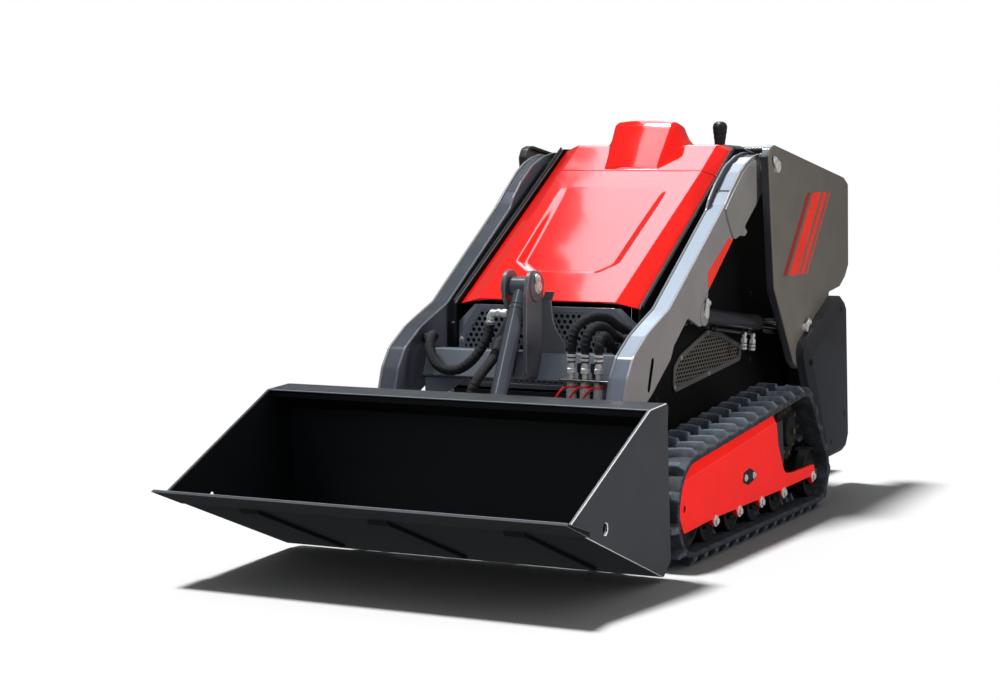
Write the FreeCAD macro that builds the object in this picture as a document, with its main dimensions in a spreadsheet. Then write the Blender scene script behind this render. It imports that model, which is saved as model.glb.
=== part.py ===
import FreeCAD, Part
import math
import os
import re

import Sketcher

# A stand-on compact track loader.  Millimetres, +Z up, the front faces -Y, and the
# machine's left side is +X.  The origin is on the ground under the middle of the machine.

Vector = FreeCAD.Vector
doc = FreeCAD.newDocument("track_loader")
sheet = doc.addObject("Spreadsheet::Sheet", "Sizes")

SIZES = [
    # plates and pins
    ("skin", 8, "thickness of the frame and tower plates"),
    ("sheet_metal", 6, "thickness of covers, grilles and guards' sheet"),
    ("pin_fit", 0.05, "radial clearance of a pin in its bore"),
    ("side_play", 1.5, "side clearance of an eye between its ears"),
    ("seat", 0.3, "gap between a moving piece and its seat"),
    # chassis
    ("chassis_half", 300, "centre to the inside of a chassis side plate"),
    ("chassis_front", -330, "front of the chassis"),
    ("chassis_back", 1090, "front face of the rear panel"),
    ("belly_height", 142, "ground clearance"),
    ("grille_foot", 440, "height where the front grille starts"),
    # arm pivot and lift arms
    ("pivot_back", 492, "Y of the lift arm pivot"),
    ("pivot_height", 1125, "Z of the lift arm pivot"),
    ("pivot_radius", 20, "lift arm pivot pin"),
    ("arm_inner", 335, "centre to the inside face of a lift arm"),
    ("arm_wide", 60, "width of a lift arm box"),
    ("arm_wall", 8, "side plate of a lift arm at its clevis"),
    # towers
    ("tower_outer", 446, "centre to the outside face of a tower plate"),
    ("tower_flange", 28, "depth of the tower plate's folded edge"),
    ("guard_wall", 28, "height of a rear guard's straight wall"),
    ("guard_deep", 47, "how far a rear guard stands out from the tower plate"),
    # hood
    ("hood_gap", 8, "gap between the hood's side and a chassis side plate"),
    ("hood_thick", 26, "thickness of the hood"),
    ("hood_front", -323, "Y of the hood's front edge"),
    ("hood_low", 718, "Z of the hood's front edge"),
    ("hood_seam", 326, "Y of the seam between hood and cowl"),
    ("hood_high", 1109, "Z of the seam between hood and cowl"),
    # lift cylinders
    ("barrel_radius", 27, "lift cylinder barrel"),
    ("rod_radius", 16, "lift cylinder rod"),
    ("eye_radius", 27, "lift cylinder rod eye"),
    ("lift_pin_radius", 14, "lift cylinder pins"),
    ("lift_foot_back", -30, "Y of the lift cylinder's pin in the arm"),
    ("lift_foot_height", 671, "Z of the lift cylinder's pin in the arm"),
    ("lift_top_back", 809, "Y of the lift cylinder's pin in the tower"),
    ("lift_top_height", 583, "Z of the lift cylinder's pin in the tower"),
    ("lift_barrel_long", 560, "barrel pin to the barrel's open end"),
    # bucket, its pivot and its cylinder
    ("bucket_wide", 1180, "width over the bucket's side plates"),
    ("edge_wide", 1200, "width of the cutting edge"),
    ("bucket_sheet", 8, "thickness of the bucket's sheet"),
    ("edge_thick", 16, "thickness of the cutting edge"),
    ("edge_deep", 150, "depth of the cutting edge"),
    ("heel_back", -847, "Y of the bucket's heel"),
    ("heel_height", 13, "Z of the bucket's heel"),
    ("lip_front", -1519, "Y of the cutting edge's tip"),
    ("lip_height", 253, "Z of the cutting edge's tip"),
    ("strip_wide", 60, "width of a wear strip"),
    ("strip_thick", 10, "thickness of a wear strip"),
    ("strip_step", 390, "distance between wear strips"),
    ("attach_half", 420, "half width of the attachment plate"),
    ("attach_thick", 12, "thickness of the attachment plate"),
    ("dump_back", -750, "Y of the bucket pivot"),
    ("dump_height", 80, "Z of the bucket pivot"),
    ("dump_pin_radius", 13, "bucket pivot pin"),
    ("ear_thick", 12, "thickness of the bucket's and tilt cylinder's ears"),
    ("tilt_barrel_radius", 26, "tilt cylinder barrel"),
    ("tilt_rod_radius", 17, "tilt cylinder rod"),
    ("tilt_eye_half", 32, "half width of the tilt cylinder's eyes"),
    ("tilt_pin_radius", 15, "tilt cylinder pins"),
    ("tilt_top_back", -495, "Y of the tilt cylinder's upper pin"),
    ("tilt_top_height", 767, "Z of the tilt cylinder's upper pin"),
    ("tilt_foot_back", -760, "Y of the tilt cylinder's rod pin"),
    ("tilt_foot_height", 250, "Z of the tilt cylinder's rod pin"),
    ("tilt_barrel_long", 430, "upper pin to the barrel's open end"),
    # tracks
    ("track_inner", 400, "centre to the inside edge of a track"),
    ("track_wide", 180, "width of a track"),
    ("band_thick", 16, "track band without its lugs"),
    ("lug_high", 22, "height of the track lugs"),
    ("idler_front_back", -572, "Y of the front idler"),
    ("idler_front_height", 166, "Z of the front idler, and the track's radius round it"),
    ("idler_rear_back", 598, "Y of the rear idler"),
    ("idler_rear_height", 120, "Z of the rear idler, and the track's radius round it"),
    ("sprocket_back", 422, "Y of the drive sprocket"),
    ("sprocket_height", 273, "Z of the drive sprocket"),
    ("sprocket_turn", 152, "outer radius of the track round the sprocket"),
    ("wheel_wide", 110, "width of the track's wheels"),
    ("roller_radius", 61, "track rollers"),
    ("roller_first", -388, "Y of the first track roller"),
    ("roller_pitch", 206, "distance between track rollers"),
    ("axle_radius", 15, "axles of rollers and idlers"),
    ("guard_inner", 562, "centre to the inside face of a track guard"),
    ("guard_thick", 8, "thickness of a track guard"),
    ("motor_radius", 62, "drive motor housing"),
    # operator's place
    ("platform_half", 300, "half width of the platform"),
    ("platform_thick", 8, "thickness of the platform"),
    ("platform_end", 1519, "Y of the platform's rear edge"),
    ("platform_hinge_back", 1128, "Y of the platform hinge"),
    ("platform_height", 225, "Z of the platform hinge"),
    ("hinge_radius", 8, "platform hinge pin"),
    ("pad_thick", 50, "thickness of the thigh pad"),
    ("pad_half", 200, "half width of the thigh pad"),
    ("lever_place", 168, "centre to a control lever"),
    ("lever_top", 1280, "height of the control levers"),
    ("lever_radius", 17, "grip of a control lever"),
    ("bar_radius", 12.5, "tube of the grab bar"),
    ("bar_half", 215, "half width of the grab bar"),
    # hoses and couplers
    ("coupler_radius", 11, "auxiliary coupler"),
    ("coupler_nut", 15, "nut of an auxiliary coupler"),
    ("aux_sleeve", 15, "radius of an auxiliary hose in its sleeve"),
    ("tilt_sleeve", 16, "radius of a tilt cylinder hose in its sleeve"),
]

for number, (alias, value, note) in enumerate(SIZES, start=1):
    sheet.set("A%d" % number, note)
    sheet.set("B%d" % number, str(value))
    sheet.setAlias("B%d" % number, alias)
doc.recompute()


class Values:
    """The sheet's values by name, for outlines that are worked out here."""

    def __getattr__(self, alias):
        return float(sheet.get(alias))


S = Values()
SIDES = (("left", 1), ("right", -1))


def ref(words):
    """A formula in size names as an expression on the sheet."""
    return re.sub(r"[a-z][a-z_]+", lambda name: "Sizes." + name.group(0), words)


# ---------------------------------------------------------------- sketches and features

def corner_points(points):
    """Outline pieces: each corner (y, z) stays sharp, each (y, z, r) becomes an arc."""
    pieces = []
    count = len(points)
    for index, point in enumerate(points):
        here = Vector(point[0], point[1], 0)
        if len(point) == 2:
            pieces.append((here, None, here))
            continue
        before = Vector(*points[index - 1][:2], 0) - here
        after = Vector(*points[(index + 1) % count][:2], 0) - here
        half = before.getAngle(after) / 2
        setback = point[2] / math.tan(half)
        start = here + before.normalize() * setback
        end = here + after.normalize() * setback
        middle = here + (before + after).normalize() * (point[2] / math.sin(half) - point[2])
        pieces.append((start, middle, end))
    return pieces


def draw(sketch, points):
    """Draw a closed outline of lines and corner arcs in a sketch."""
    pieces = corner_points(points)
    for index, (start, middle, end) in enumerate(pieces):
        if middle is not None:
            sketch.addGeometry(Part.Arc(start, middle, end), False)
        following = pieces[(index + 1) % len(pieces)][0]
        if end.distanceToPoint(following) > 1e-6:
            sketch.addGeometry(Part.LineSegment(end, following), False)


def circle(sketch, across, up, radius):
    """Draw a circle whose radius follows the sheet."""
    index = sketch.addGeometry(Part.Circle(Vector(across, up, 0), Vector(0, 0, 1), 1), False)
    number = sketch.addConstraint(Sketcher.Constraint("Radius", index, 1.0))
    sketch.setExpression("Constraints[%d]" % number, ref(radius))


def new_sketch(body, role, name):
    sketch = body.newObject("Sketcher::SketchObject", name)
    plane = [item for item in body.Origin.OriginFeatures if item.Role == role][0]
    sketch.AttachmentSupport = (plane, [""])
    sketch.MapMode = "FlatFace"
    return sketch


def new_body(label):
    body = doc.addObject("PartDesign::Body", label)
    body.Label = label
    return body


def pad(body, sketch, length, name="Pad", centred=False):
    feature = body.newObject("PartDesign::Pad", name)
    feature.Profile = sketch
    feature.setExpression("Length", ref(length))
    feature.Midplane = centred
    body.Tip = feature
    return feature


def side_plate(label, points, inner, thick, side=1, holes=()):
    """A plate standing along the machine, from inner outwards, on one side of it."""
    body = new_body(label)
    sketch = new_sketch(body, "YZ_Plane", label + "_outline")
    draw(sketch, points)
    for back, up, radius in holes:
        circle(sketch, back, up, radius)
    pad(body, sketch, thick, label + "_pad")
    place = ref(inner) if side > 0 else "-(%s) - (%s)" % (ref(inner), ref(thick))
    body.setExpression("Placement.Base.x", place)
    return body


def cross_plate(label, points, wide, holes=()):
    """A profile in the YZ plane carried across the machine, centred."""
    body = new_body(label)
    sketch = new_sketch(body, "YZ_Plane", label + "_profile")
    draw(sketch, points)
    for back, up, radius in holes:
        circle(sketch, back, up, radius)
    pad(body, sketch, wide, label + "_pad", centred=True)
    return body


def upright_plate(label, points, front, thick):
    """A plate that faces along the machine: its outline is in X and Z."""
    body = new_body(label)
    sketch = new_sketch(body, "XZ_Plane", label + "_outline")
    draw(sketch, points)
    feature = pad(body, sketch, thick, label + "_pad")
    feature.Reversed = True
    body.setExpression("Placement.Base.y", ref(front))
    return body


def bar_across(label, radius, start, length, back, up):
    """A round bar along X, from start."""
    bar = doc.addObject("Part::Cylinder", label)
    bar.setExpression("Radius", ref(radius))
    bar.setExpression("Height", ref(length))
    bar.Placement = FreeCAD.Placement(Vector(0, 0, 0), FreeCAD.Rotation(Vector(0, 1, 0), 90))
    bar.setExpression("Placement.Base.x", ref(start))
    bar.setExpression("Placement.Base.y", ref(back))
    bar.setExpression("Placement.Base.z", ref(up))
    return bar


def side_bar(label, radius, inner, length, back, up, side):
    """A round bar along X on one side of the machine, from inner outwards."""
    start = inner if side > 0 else "-(%s) - (%s)" % (inner, length)
    return bar_across(label, radius, start, length, back, up)


def box(label, long_x, long_y, long_z, x, y, z):
    block = doc.addObject("Part::Box", label)
    for name, size in (("Length", long_x), ("Width", long_y), ("Height", long_z)):
        block.setExpression(name, ref(size))
    for axis, place in (("x", x), ("y", y), ("z", z)):
        block.setExpression("Placement.Base." + axis, ref(place))
    return block


def fuse(label, pieces):
    whole = doc.addObject("Part::MultiFuse", label)
    whole.Shapes = pieces
    whole.Label = label
    return whole


def cut(label, base, tools):
    if len(tools) > 1:
        tools = [fuse(label + "_tools", tools)]
    whole = doc.addObject("Part::Cut", label)
    whole.Base = base
    whole.Tool = tools[0]
    whole.Label = label
    return whole


def group(label, pieces):
    """Like pieces that don't touch, kept as separate solids of one sub-part."""
    whole = doc.addObject("Part::Compound", label)
    whole.Links = pieces
    whole.Label = label
    return whole


nodes = []


def keep(piece):
    nodes.append(piece)
    return piece


def slope(start, end):
    """Unit vector from one (y, z) point to another, and its left-hand normal."""
    along = Vector(end[0] - start[0], end[1] - start[1], 0).normalize()
    return along, Vector(-along.y, along.x, 0)


def shifted(point, *moves):
    """A (y, z) point moved by (direction, distance) pairs."""
    place = Vector(point[0], point[1], 0)
    for direction, distance in moves:
        place = place + direction * distance
    return (place.x, place.y)


# ---------------------------------------------------------------- tracks

def belt_outline(turns):
    """Corners and arcs of a belt round wheels given as (y, z, radius), anticlockwise."""
    edges = []
    count = len(turns)
    tangents = []
    for index in range(count):
        first, second = turns[index], turns[(index + 1) % count]
        dy, dz = second[0] - first[0], second[1] - first[1]
        reach = math.hypot(dy, dz)
        turn = math.atan2(dz, dy) - math.acos((first[2] - second[2]) / reach)
        normal = Vector(math.cos(turn), math.sin(turn), 0)
        tangents.append((Vector(first[0], first[1], 0) + normal * first[2],
                         Vector(second[0], second[1], 0) + normal * second[2], turn))
    for index in range(count):
        start, end, turn = tangents[index]
        edges.append(Part.LineSegment(start, end))
        leave, _, later = tangents[(index + 1) % count]
        wheel = turns[(index + 1) % count]
        while later < turn:
            later += 2 * math.pi
        middle = (turn + later) / 2
        bulge = Vector(wheel[0] + wheel[2] * math.cos(middle), wheel[1] + wheel[2] * math.sin(middle), 0)
        edges.append(Part.Arc(end, bulge, leave))
    return edges


band = S.band_thick + S.lug_high
wheels = [(S.idler_front_back, S.idler_front_height, S.idler_front_height),
          (S.idler_rear_back, S.idler_rear_height, S.idler_rear_height),
          (S.sprocket_back, S.sprocket_height, S.sprocket_turn)]
GUARD_OUTLINE = [
    (-640, 99, 12), (-678, 150, 20), (-686, 198, 16), (-652, 246, 12), (170, 331, 14),
    (190, 262), (312, 158, 62), (549, 150, 5), (552, 91, 5), (373, 86)]
FRAME_OUTLINE = [(-440, 175), (-400, 262), (275, 326), (295, 185)]


def track(name, side):
    body = new_body("track_" + name)
    sketch = new_sketch(body, "YZ_Plane", "loop_" + name)
    for shrink in (0, band):
        for edge in belt_outline([(y, z, radius - shrink) for y, z, radius in wheels]):
            sketch.addGeometry(edge, False)
    pad(body, sketch, "track_wide", "loop_pad_" + name)
    place = "track_inner" if side > 0 else "-track_inner - track_wide"
    body.setExpression("Placement.Base.x", ref(place))
    return body


wheel_start = "track_inner + track_wide/2 - wheel_wide/2"
axle_start = wheel_start + " - 8"
axle_long = "guard_inner - (%s)" % axle_start


def wheel(label, radius, back, up, side):
    """A wheel of the track with its axle, which ends on the track guard."""
    disc = side_bar(label + "_disc", radius, wheel_start, "wheel_wide", back, up, side)
    axle = side_bar(label + "_axle", "axle_radius", axle_start, axle_long, back, up, side)
    return fuse(label, [disc, axle])


for name, side in SIDES:
    keep(track(name, side))
    keep(side_plate("track_guard_" + name, GUARD_OUTLINE, "guard_inner", "guard_thick", side))
    beam = side_plate("frame_beam_" + name, FRAME_OUTLINE, "track_inner + 30", "track_wide - 60", side)
    struts = [side_bar("frame_strut_%s_%d" % (name, index), "30", "chassis_half + skin",
                       "track_inner + 30 - chassis_half - skin", back, "215", side)
              for index, back in enumerate(("-250", "150"))]
    spacer = side_bar("frame_spacer_" + name, "35", "track_inner + track_wide - 30",
                      "guard_inner - track_inner - track_wide + 30", "-78", "215", side)
    keep(fuse("track_frame_" + name, [beam, spacer] + struts))
idler_run = "band_thick - lug_high - 0.5"
front_idlers, rear_idlers, sprockets, motors, rollers = [], [], [], [], []
for name, side in SIDES:
    front_idlers.append(wheel("front_idler_" + name, "idler_front_height - " + idler_run,
                              "idler_front_back", "idler_front_height", side))
    rear_idlers.append(wheel("rear_idler_" + name, "idler_rear_height - " + idler_run,
                             "idler_rear_back", "idler_rear_height", side))
    sprockets.append(side_bar("sprocket_" + name, "sprocket_turn - " + idler_run, wheel_start + " + 30",
                              "wheel_wide - 50", "sprocket_back", "sprocket_height", side))
    motors.append(side_bar("motor_" + name, "motor_radius", "chassis_half + skin",
                           wheel_start + " + 30 - chassis_half - skin",
                           "sprocket_back", "sprocket_height", side))
    for index in range(4):
        rollers.append(wheel("roller_%s_%d" % (name, index), "roller_radius",
                             "roller_first + roller_pitch*%d" % index,
                             "roller_radius + band_thick + lug_high + 0.5", side))
keep(group("front_idlers", front_idlers))
keep(group("rear_idlers", rear_idlers))
keep(group("drive_sprockets", sprockets))
keep(group("drive_motors", motors))
keep(group("track_rollers", rollers))

# ---------------------------------------------------------------- chassis

hood_along, hood_normal = slope((S.hood_front, S.hood_low), (S.hood_seam, S.hood_high))
hood_foot = (S.hood_front, S.hood_low)
hood_top = (S.hood_seam, S.hood_high)
cowl_top = (470, 1196)
rail_foot = shifted(hood_foot, (hood_normal, -8))
rail_head = shifted(cowl_top, (hood_normal, -8))
SIDE_OUTLINE = [
    (S.chassis_front, S.belly_height, 20), (S.chassis_front, rail_foot[1] - 10, 8), rail_foot,
    rail_head + (20,), (560, 1186), (S.chassis_back, 1098, 30),
    (S.chassis_back, S.belly_height)]
for name, side in SIDES:
    keep(side_plate("chassis_side_" + name, SIDE_OUTLINE, "chassis_half", "skin", side,
                    [(S.pivot_back, S.pivot_height, "pivot_radius + pin_fit")]))
keep(box("belly_plate", "2*chassis_half", "chassis_back - chassis_front", "skin",
         "-chassis_half", "chassis_front", "belly_height"))
keep(box("front_bulkhead", "2*chassis_half", "skin + 2", "grille_foot - belly_height - skin",
         "-chassis_half", "chassis_front", "belly_height + skin"))
grille_half = S.chassis_half
grille_head = S.hood_low - 16
GRILLE_OUTLINE = [
    (-grille_half, S.grille_foot), (grille_half, S.grille_foot), (grille_half, grille_head - 55),
    (grille_half - 62, grille_head), (62 - grille_half, grille_head), (-grille_half, grille_head - 55)]
keep(upright_plate("front_grille", GRILLE_OUTLINE, "chassis_front + skin/2", "sheet_metal"))
SIDE_GRILLE = [(-69, 432, 18), (545, 500, 18), (545, 585, 18), (150, 615, 60), (-69, 575, 18)]
keep(group("side_grilles", [
    side_plate("side_grille_" + name, SIDE_GRILLE, "chassis_half + skin", "sheet_metal", side)
    for name, side in SIDES]))
REAR_PANEL = [
    (-S.tower_outer + S.skin, 712), (-S.chassis_half, 712), (-S.chassis_half, S.belly_height),
    (S.chassis_half, S.belly_height), (S.chassis_half, 712), (S.tower_outer - S.skin, 712),
    (S.tower_outer - S.skin, 1040), (-S.tower_outer + S.skin, 1040)]
keep(upright_plate("rear_panel", REAR_PANEL, "chassis_back", "skin"))
keep(box("engine_block", "360", "500", "460", "-180", "20", "belly_height + skin"))

# ---------------------------------------------------------------- cowl, scoop and console

seam_gap = shifted(hood_top, (hood_along, 0.8))
COWL_PROFILE = [
    seam_gap, cowl_top + (30,), (560, cowl_top[1] + 2), (560, cowl_top[1] - 18),
    (cowl_top[0] + 12, cowl_top[1] - 20, 20), shifted(seam_gap, (hood_normal, -S.hood_thick))]
keep(cross_plate("top_cowl", COWL_PROFILE, "2*chassis_half"))
cowl_along, cowl_normal = slope(seam_gap, cowl_top)
SCOOP_PROFILE = [
    shifted(seam_gap, (cowl_along, 24), (cowl_normal, 0.3)), (408, 1216, 60), (468, 1270, 12),
    (535, 1262, 20), (559, cowl_top[1] + 2.3), shifted(cowl_top, (cowl_normal, 0.6))]
keep(cross_plate("air_scoop", SCOOP_PROFILE, "230"))
CONSOLE_PROFILE = [
    (560.3, 1198), (700, 1196, 20), (1060, 1140, 30), (1082, 1120), (1082, 1040), (940, 1000), (560.3, 1040)]
console = cross_plate("console_block", CONSOLE_PROFILE, "2*chassis_half")
LEVER_BACK, LEVER_FOOT = 720, 1170
BAR_BACK, BAR_FOOT, BAR_TOP = 1050, 1110, 1187


def upright(label, radius, across, back, low, high):
    """An upright round bar from low to high."""
    bar = doc.addObject("Part::Cylinder", label)
    bar.setExpression("Radius", ref(radius))
    bar.setExpression("Height", ref("%s - (%s)" % (high, low)))
    bar.setExpression("Placement.Base.x", ref(across))
    bar.setExpression("Placement.Base.y", ref(str(back)))
    bar.setExpression("Placement.Base.z", ref(str(low)))
    return bar


levers, bar_legs, wells = [], [], []
for name, side in SIDES:
    lever_across = "lever_place*%d" % side
    levers.append(upright("lever_" + name, "lever_radius", lever_across, LEVER_BACK, LEVER_FOOT, "lever_top"))
    wells.append(upright("lever_well_" + name, "lever_radius + seat", lever_across, LEVER_BACK,
                         LEVER_FOOT, LEVER_FOOT + 60))
    leg_across = "bar_half*%d" % side
    bar_legs.append(upright("bar_leg_" + name, "bar_radius", leg_across, BAR_BACK, BAR_FOOT, BAR_TOP))
    wells.append(upright("bar_well_" + name, "bar_radius + seat", leg_across, BAR_BACK,
                         BAR_FOOT, BAR_FOOT + 60))
keep(cut("control_panel", console, wells))
keep(group("control_levers", levers))
rail = bar_across("bar_rail", "bar_radius", "-bar_half - 2*bar_radius", "2*bar_half + 4*bar_radius",
                  str(BAR_BACK), str(BAR_TOP))
keep(fuse("grab_bar", bar_legs + [rail]))
PAD_PROFILE = [
    (S.chassis_back + S.skin, 740, 12), (S.chassis_back + S.skin, 1010, 12),
    (S.chassis_back + S.skin + S.pad_thick, 1000, 20), (S.chassis_back + S.skin + S.pad_thick, 750, 20)]
keep(cross_plate("thigh_pad", PAD_PROFILE, "2*pad_half"))

# ---------------------------------------------------------------- towers and rear guards

TOWER_OUTLINE = [
    (421, 1163, 12), (455, 1195, 18), (1256, 1093, 30), (1309, 1070, 16), (1327, 780, 12), (1220, 703, 20),
    (1100, 690), (1000, 460), (759, 445, 15), (707, 473, 10), (495, 726, 25), (457, 921, 30)]
TOWER_WELL = [
    (429, 1160, 6), (457, 1187, 10), (1253, 1085, 24), (1301, 1064, 10), (1318, 784, 6), (1217, 712, 14),
    (1095, 698), (994, 468), (761, 453, 8), (712, 480, 5), (503, 729, 20), (465, 922, 24)]
for name, side in SIDES:
    body = side_plate("tower_plate_" + name, TOWER_OUTLINE, "tower_outer - tower_flange", "tower_flange", side,
                      [(S.pivot_back, S.pivot_height, "pivot_radius + pin_fit"),
                       (S.lift_top_back, S.lift_top_height, "lift_pin_radius + pin_fit")])
    well = new_sketch(body, "YZ_Plane", "tower_well_" + name)
    draw(well, TOWER_WELL)
    pocket = body.newObject("PartDesign::Pocket", "tower_pocket_" + name)
    pocket.Profile = well
    pocket.setExpression("Length", ref("tower_flange - skin"))
    if side > 0:
        pocket.Reversed = True
    else:
        well.setExpression("AttachmentOffset.Base.z", ref("tower_flange"))
    body.Tip = pocket
    keep(body)

GUARD_BASE = [
    (703, 520, 50), (1088, 678, 6), (1132, 676, 20), (1186, 648, 20), (1225, 180, 20), (1195, 120, 20),
    (955, 112, 10)]
GUARD_FACE = [
    (757, 487, 10), (1098, 653, 4), (1128, 652, 10), (1152, 628, 10), (1203, 182, 10), (1176, 142, 10),
    (975, 132, 6)]
for name, side in SIDES:
    body = new_body("rear_guard_" + name)
    sections = []
    for number, (points, lift) in enumerate((
            (GUARD_BASE, "0"), (GUARD_BASE, "guard_wall"), (GUARD_FACE, "guard_deep"))):
        section = new_sketch(body, "YZ_Plane", "guard_section_%s_%d" % (name, number))
        draw(section, points)
        if side < 0:
            lift = "-(%s)" % lift
        section.setExpression("AttachmentOffset.Base.z", ref(lift))
        sections.append(section)
    loft = body.newObject("PartDesign::AdditiveLoft", "guard_loft_" + name)
    loft.Profile = sections[0]
    loft.Sections = sections[1:]
    loft.Ruled = True
    body.Tip = loft
    body.setExpression("Placement.Base.x", ref("tower_outer*%d" % side))
    keep(body)

boss_reach = "chassis_half + skin"
pivot_pins, anchors = [], []
for name, side in SIDES:
    shaft = side_bar("pivot_shaft_" + name, "pivot_radius", "chassis_half - 6",
                     "tower_outer - chassis_half + 16", "pivot_back", "pivot_height", side)
    pivot_pins.append(shaft)
    inner = side_bar("anchor_inner_" + name, "eye_radius", boss_reach,
                     "arm_inner + 9 - side_play - (%s)" % boss_reach, "lift_top_back", "lift_top_height", side)
    outer = side_bar("anchor_outer_" + name, "eye_radius", "arm_inner + 51 + side_play",
                     "tower_outer - skin - (arm_inner + 51 + side_play)",
                     "lift_top_back", "lift_top_height", side)
    stub = side_bar("anchor_stub_" + name, "lift_pin_radius", "tower_outer - skin", "skin + 14",
                    "lift_top_back", "lift_top_height", side)
    anchors += [inner, fuse("anchor_" + name, [outer, stub])]
keep(group("arm_pivot_pins", pivot_pins))
keep(group("lift_anchors", anchors))

# ---------------------------------------------------------------- hood

HOOD_PROFILE = [
    shifted(hood_foot, (hood_normal, -S.hood_thick)), hood_foot, hood_top,
    shifted(hood_top, (hood_normal, -S.hood_thick))]
keep(cross_plate("hood", HOOD_PROFILE, "2*chassis_half - 2*hood_gap"))

# ---------------------------------------------------------------- platform

DECK_START, KNUCKLE_RADIUS = 18, 14
PLATFORM_PROFILE = [
    (S.platform_hinge_back + DECK_START, S.platform_height - S.platform_thick / 2),
    (S.platform_end, S.platform_height - S.platform_thick / 2, 3),
    (S.platform_end, S.platform_height + S.platform_thick / 2, 3),
    (S.platform_hinge_back + DECK_START, S.platform_height + S.platform_thick / 2)]
deck = cross_plate("platform_deck", PLATFORM_PROFILE, "2*platform_half")
deck_pieces, deck_holes, hinge_lugs = [deck], [], []
for name, side in SIDES:
    deck_pieces.append(box(
        "deck_rim_" + name, "skin", "platform_end - platform_hinge_back - 18", "48",
        "platform_half - skin" if side > 0 else "-platform_half",
        "platform_hinge_back + 18", "platform_height - 24"))
    deck_pieces.append(box(
        "deck_web_" + name, "50", "34", "platform_thick", "%d" % (180 if side > 0 else -230),
        "platform_hinge_back", "platform_height - platform_thick/2"))
    deck_pieces.append(side_bar("deck_knuckle_" + name, str(KNUCKLE_RADIUS), "180", "50",
                                "platform_hinge_back", "platform_height", side))
    deck_holes.append(side_bar("deck_pinhole_" + name, "hinge_radius + pin_fit", "179", "52",
                               "platform_hinge_back", "platform_height", side))
    lug_outline = [(S.chassis_back + S.skin, S.platform_height - 26), (1126, S.platform_height - 13),
                   (1141, S.platform_height - 13, 12.5), (1141, S.platform_height + 13, 12.5),
                   (1126, S.platform_height + 13), (S.chassis_back + S.skin, S.platform_height + 26)]
    lugs = [side_plate("hinge_lug_%s_%d" % (name, number), lug_outline, inner, "12", side)
            for number, inner in enumerate(("180 - 12 - side_play", "230 + side_play"))]
    hinge_pin = side_bar("hinge_pin_" + name, "hinge_radius", "180 - 16", "84",
                         "platform_hinge_back", "platform_height", side)
    hinge_lugs.append(fuse("hinge_" + name, lugs + [hinge_pin]))
keep(cut("platform", fuse("platform_stock", deck_pieces), deck_holes))
keep(group("platform_hinges", hinge_lugs))

# ---------------------------------------------------------------- lift arms

ARM_OUTLINE = [
    (-316, 703), (187, 1039), (243, 1065), (409, 1154, 40), (470, 1184, 40), (548, 1184, 58), (548, 1072, 58),
    (438, 996, 30), (250, 894, 10), (227, 897), (4, 741, 12), (-3, 650, 24), (-62, 634, 24), (-168, 668, 30),
    (-280, 593, 20), (-307, 554, 20), (-459, 459, 60), (-600, 400, 60), (-722, 92),
    (-722, 48, 27), (-779, 48, 27), (-779, 112), (-659, 456, 30), (-633, 522, 12), (-472, 618, 20),
    (-398, 684, 20)]
CLEVIS_WELL = [(-75, 600), (70, 600), (70, 690), (20, 735), (-60, 735)]
for name, side in SIDES:
    body = side_plate("arm_" + name, ARM_OUTLINE, "arm_inner", "arm_wide", side,
                      [(S.pivot_back, S.pivot_height, "pivot_radius + pin_fit"),
                       (S.lift_foot_back, S.lift_foot_height, "lift_pin_radius + pin_fit"),
                       (S.dump_back, S.dump_height, "dump_pin_radius + pin_fit")])
    well = new_sketch(body, "YZ_Plane", "clevis_" + name)
    draw(well, CLEVIS_WELL)
    well.setExpression("AttachmentOffset.Base.z", ref("arm_wall"))
    pocket = body.newObject("PartDesign::Pocket", "clevis_pocket_" + name)
    pocket.Profile = well
    pocket.setExpression("Length", ref("arm_wide - 2*arm_wall"))
    pocket.Reversed = True
    body.Tip = pocket
    keep(body)
keep(group("lift_pins", [
    side_bar("lift_pin_" + name, "lift_pin_radius", "arm_inner - 4", "arm_wide + 16",
             "lift_foot_back", "lift_foot_height", side) for name, side in SIDES]))

BEAM_FOOT, BEAM_HEAD, BEAM_REAR = (-487, 489), (-452, 571), -396
BEAM_PROFILE = [BEAM_FOOT, (BEAM_REAR, BEAM_FOOT[1]), (BEAM_REAR, BEAM_HEAD[1]), BEAM_HEAD]
keep(cross_plate("arm_crossbeam", BEAM_PROFILE, "2*arm_inner"))
beam_along, _ = slope(BEAM_FOOT, BEAM_HEAD)
EAR_REAR = -444
EAR_BACK = [shifted(BEAM_FOOT, (beam_along, 6)), BEAM_HEAD, (EAR_REAR, BEAM_HEAD[1]), (EAR_REAR, 725),
            (-447, 815, 47.9), (-543, 815, 40)]
EAR_FRONTS = {"left": [(-562, 745, 30), (-560, 518, 6), (-547, 507, 6)],
              "right": [(-543, 735, 25), (-500, 685, 20)]}
ear_outer = S.tilt_eye_half + S.side_play + S.ear_thick
GUSSET_OUTLINE = [(ear_outer, BEAM_HEAD[1]), (119, BEAM_HEAD[1]), (119, 600), (80, 655, 100), (72, 728),
                  (ear_outer, 728)]
ears = []
for name, side in SIDES:
    ear = side_plate("tilt_ear_" + name, EAR_BACK + EAR_FRONTS[name], "tilt_eye_half + side_play", "ear_thick", side,
                     [(S.tilt_top_back, S.tilt_top_height, "tilt_pin_radius + pin_fit")])
    outline = [(side * point[0],) + point[1:] for point in GUSSET_OUTLINE]
    ears.append(fuse("tilt_ear_gusset_" + name, [
        ear, upright_plate("gusset_" + name, outline, "%d - skin" % EAR_REAR, "skin")]))
keep(group("tilt_bracket", ears))
keep(bar_across("tilt_pin", "tilt_pin_radius", "-tilt_eye_half - side_play - ear_thick - 8",
                "2*(tilt_eye_half + side_play + ear_thick + 8)", "tilt_top_back", "tilt_top_height"))

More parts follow.
